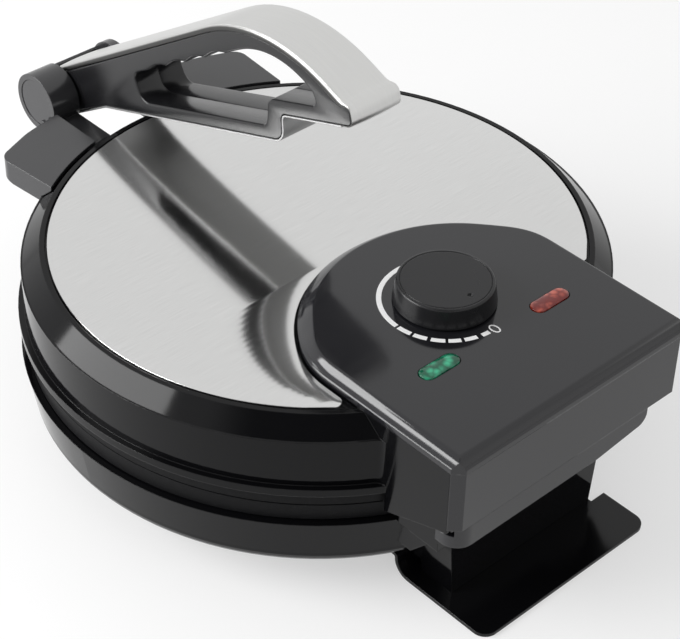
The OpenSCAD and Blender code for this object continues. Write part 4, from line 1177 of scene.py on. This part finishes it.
@dataclass
class LampLens:
    """Domed capsule lens of one lamp."""

    colour: str
    x: float
    y: float = 118.3
    half_length: float = 11.1
    half_width: float = 4.1
    foot: float = -3.0
    brim: float = 0.2
    rise: float = 1.0
    ridge: float = 0.2

    def build(self) -> None:
        """Builds the lens, whose dome keeps a narrow ridge along its middle."""
        skin = Skin()
        dome = [((self.half_width - self.ridge) * (1 - math.cos(a)), self.brim + self.rise * math.sin(a))
                for a in (QUARTER * k / 8 for k in range(9))]
        loops = [(capsule((self.x, self.y), self.half_length - d, self.half_width - d), z)
                 for d, z in [(0.0, self.foot), *dome]]
        skin.solid([skin.ring(lifted(loop, PANEL_Z + z)) for loop, z in loops])
        slot = f"{self.colour}_lens"
        skin.piece(f"{slot}_dome", "lid", slot, (slot,))


@dataclass
class Studio:
    """Pale floor, soft lights, backdrop and the camera at the photograph's angle."""

    camera_place: Triple = (0.5316, 0.58945, 0.6819)
    azimuth: float = 136.496
    elevation: float = 38.805
    roll: float = 1.387
    lens: float = 106.66
    sensor: float = 36.0
    clip: Point = (0.05, 50.0)
    floor_half: float = 6.0
    floor_colour: Colour = (0.93, 0.93, 0.93)
    floor_white: float = 0.5
    middle: Vector = field(default_factory=lambda: Vector((0.0, 0.0, 0.08)))
    dark_way: Triple = (0.45, 0.45, 0.77)
    dark_spread: Point = (0.86, 0.97)
    bright_side: Colour = (1.0, 1.0, 1.0)
    dark_side: Colour = (0.10, 0.10, 0.10)
    fill: Colour = (0.62, 0.62, 0.62)
    # Name, azimuth from +X and elevation in degrees, distance, width and height, radiance.
    boxes: tuple = (("left_box", -33.0, 26.0, 2.0, (1.4, 1.1), 10.0),)

    def camera(self) -> None:
        """Places the camera by its azimuth, elevation and roll."""
        data = bpy.data.cameras.new("camera")
        data.lens = self.lens
        data.sensor_width = self.sensor
        data.clip_start, data.clip_end = self.clip
        holder = placed("camera", data)
        a, e, r = (math.radians(v) for v in (self.azimuth, self.elevation, self.roll))
        back = Vector((math.sin(a) * math.cos(e), -math.cos(a) * math.cos(e), math.sin(e)))
        right = Vector((math.cos(a), math.sin(a), 0.0))
        up = back.cross(right)
        across = right * math.cos(r) + up * math.sin(r)
        upward = up * math.cos(r) - right * math.sin(r)
        turn = Matrix((across, upward, back)).transposed().to_4x4()
        holder.matrix_world = Matrix.Translation(self.camera_place) @ turn
        bpy.context.scene.camera = holder

    def lamps(self) -> None:
        """Adds the soft rectangular lamps, each facing the middle of the object."""
        for name, azimuth, elevation, reach, size, radiance in self.boxes:
            data = bpy.data.lights.new(name, "AREA")
            data.shape = "RECTANGLE"
            data.size, data.size_y = size
            data.energy = radiance * math.pi * size[0] * size[1]
            a, e = math.radians(azimuth), math.radians(elevation)
            way = Vector((math.cos(a) * math.cos(e), math.sin(a) * math.cos(e), math.sin(e)))
            holder = placed(name, data)
            holder.location = self.middle + way * reach
            holder.rotation_mode = "QUATERNION"
            holder.rotation_quaternion = (-way).to_track_quat("-Z", "Y")

    def seen(self, board: Board, kinds: Sequence[str]) -> Signal:
        """1 for rays of the named kinds and 0 for the others."""
        rays = [board.node("ShaderNodeLightPath", output=kind) for kind in kinds]
        return sum(rays[1:], rays[0])

    def floor(self) -> None:
        """Lays a wide pale floor under the object."""
        mesh = bpy.data.meshes.new("floor")
        half = self.floor_half
        mesh.from_pydata([(-half, -half, 0.0), (half, -half, 0.0), (half, half, 0.0), (-half, half, 0.0)], [],
                         [(0, 1, 2, 3)])
        floor = placed("floor", mesh)
        board = Board("floor")
        speckle = board.noise(40.0, 3.0)
        low = tuple(c * 0.985 for c in self.floor_colour)
        lit = board.node("ShaderNodeBsdfPrincipled", inputs={
            "Base Color": board.tint(speckle, low, self.floor_colour), "Roughness": 0.6})
        white = board.node("ShaderNodeEmission", inputs={"Color": (1.0, 1.0, 1.0, 1.0)})
        seen = self.seen(board, ("Is Camera Ray", "Is Glossy Ray", "Is Transmission Ray")) * self.floor_white
        board.end(board.mixed(seen, lit, white))
        mesh.materials.append(board.material)

    def world(self) -> None:
        """Surrounds the object with even light, a darker zone in its reflections and white for the camera."""
        world = bpy.data.worlds.new("studio")
        bpy.context.scene.world = world
        world.use_nodes = True
        board = Board("studio", world.node_tree)
        way = board.node("ShaderNodeTexCoord", output="Generated")
        aside = board.vector("DOT_PRODUCT", way, self.dark_way, output="Value")
        shown = board.tint(aside.over(*self.dark_spread), self.bright_side, self.dark_side)
        seen, soft, white = (board.node("ShaderNodeBackground", inputs={"Color": colour})
                             for colour in (shown, (*self.fill, 1.0), (1.0, 1.0, 1.0, 1.0)))
        lit = board.mixed(self.seen(board, ("Is Glossy Ray",)), soft, seen)
        straight = self.seen(board, ("Is Camera Ray", "Is Transmission Ray"))
        board.end(board.mixed(straight, lit, white), "ShaderNodeOutputWorld")

    def build(self) -> None:
        """Builds the whole studio."""
        self.camera()
        self.floor()
        self.world()
        self.lamps()
        bpy.context.scene.view_settings.view_transform = "Standard"


def main() -> None:
    """Builds the studio and every sub-assembly."""
    logging.basicConfig(level=logging.INFO, format="%(message)s")
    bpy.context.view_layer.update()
    Studio().build()
    dress_nodes()
    for part in (LidDisc(), Panel(), Handle(), Knob(), LampLens("red", -35.5), LampLens("green", 35.5)):
        part.build()


if __name__ == "__main__":
    main()
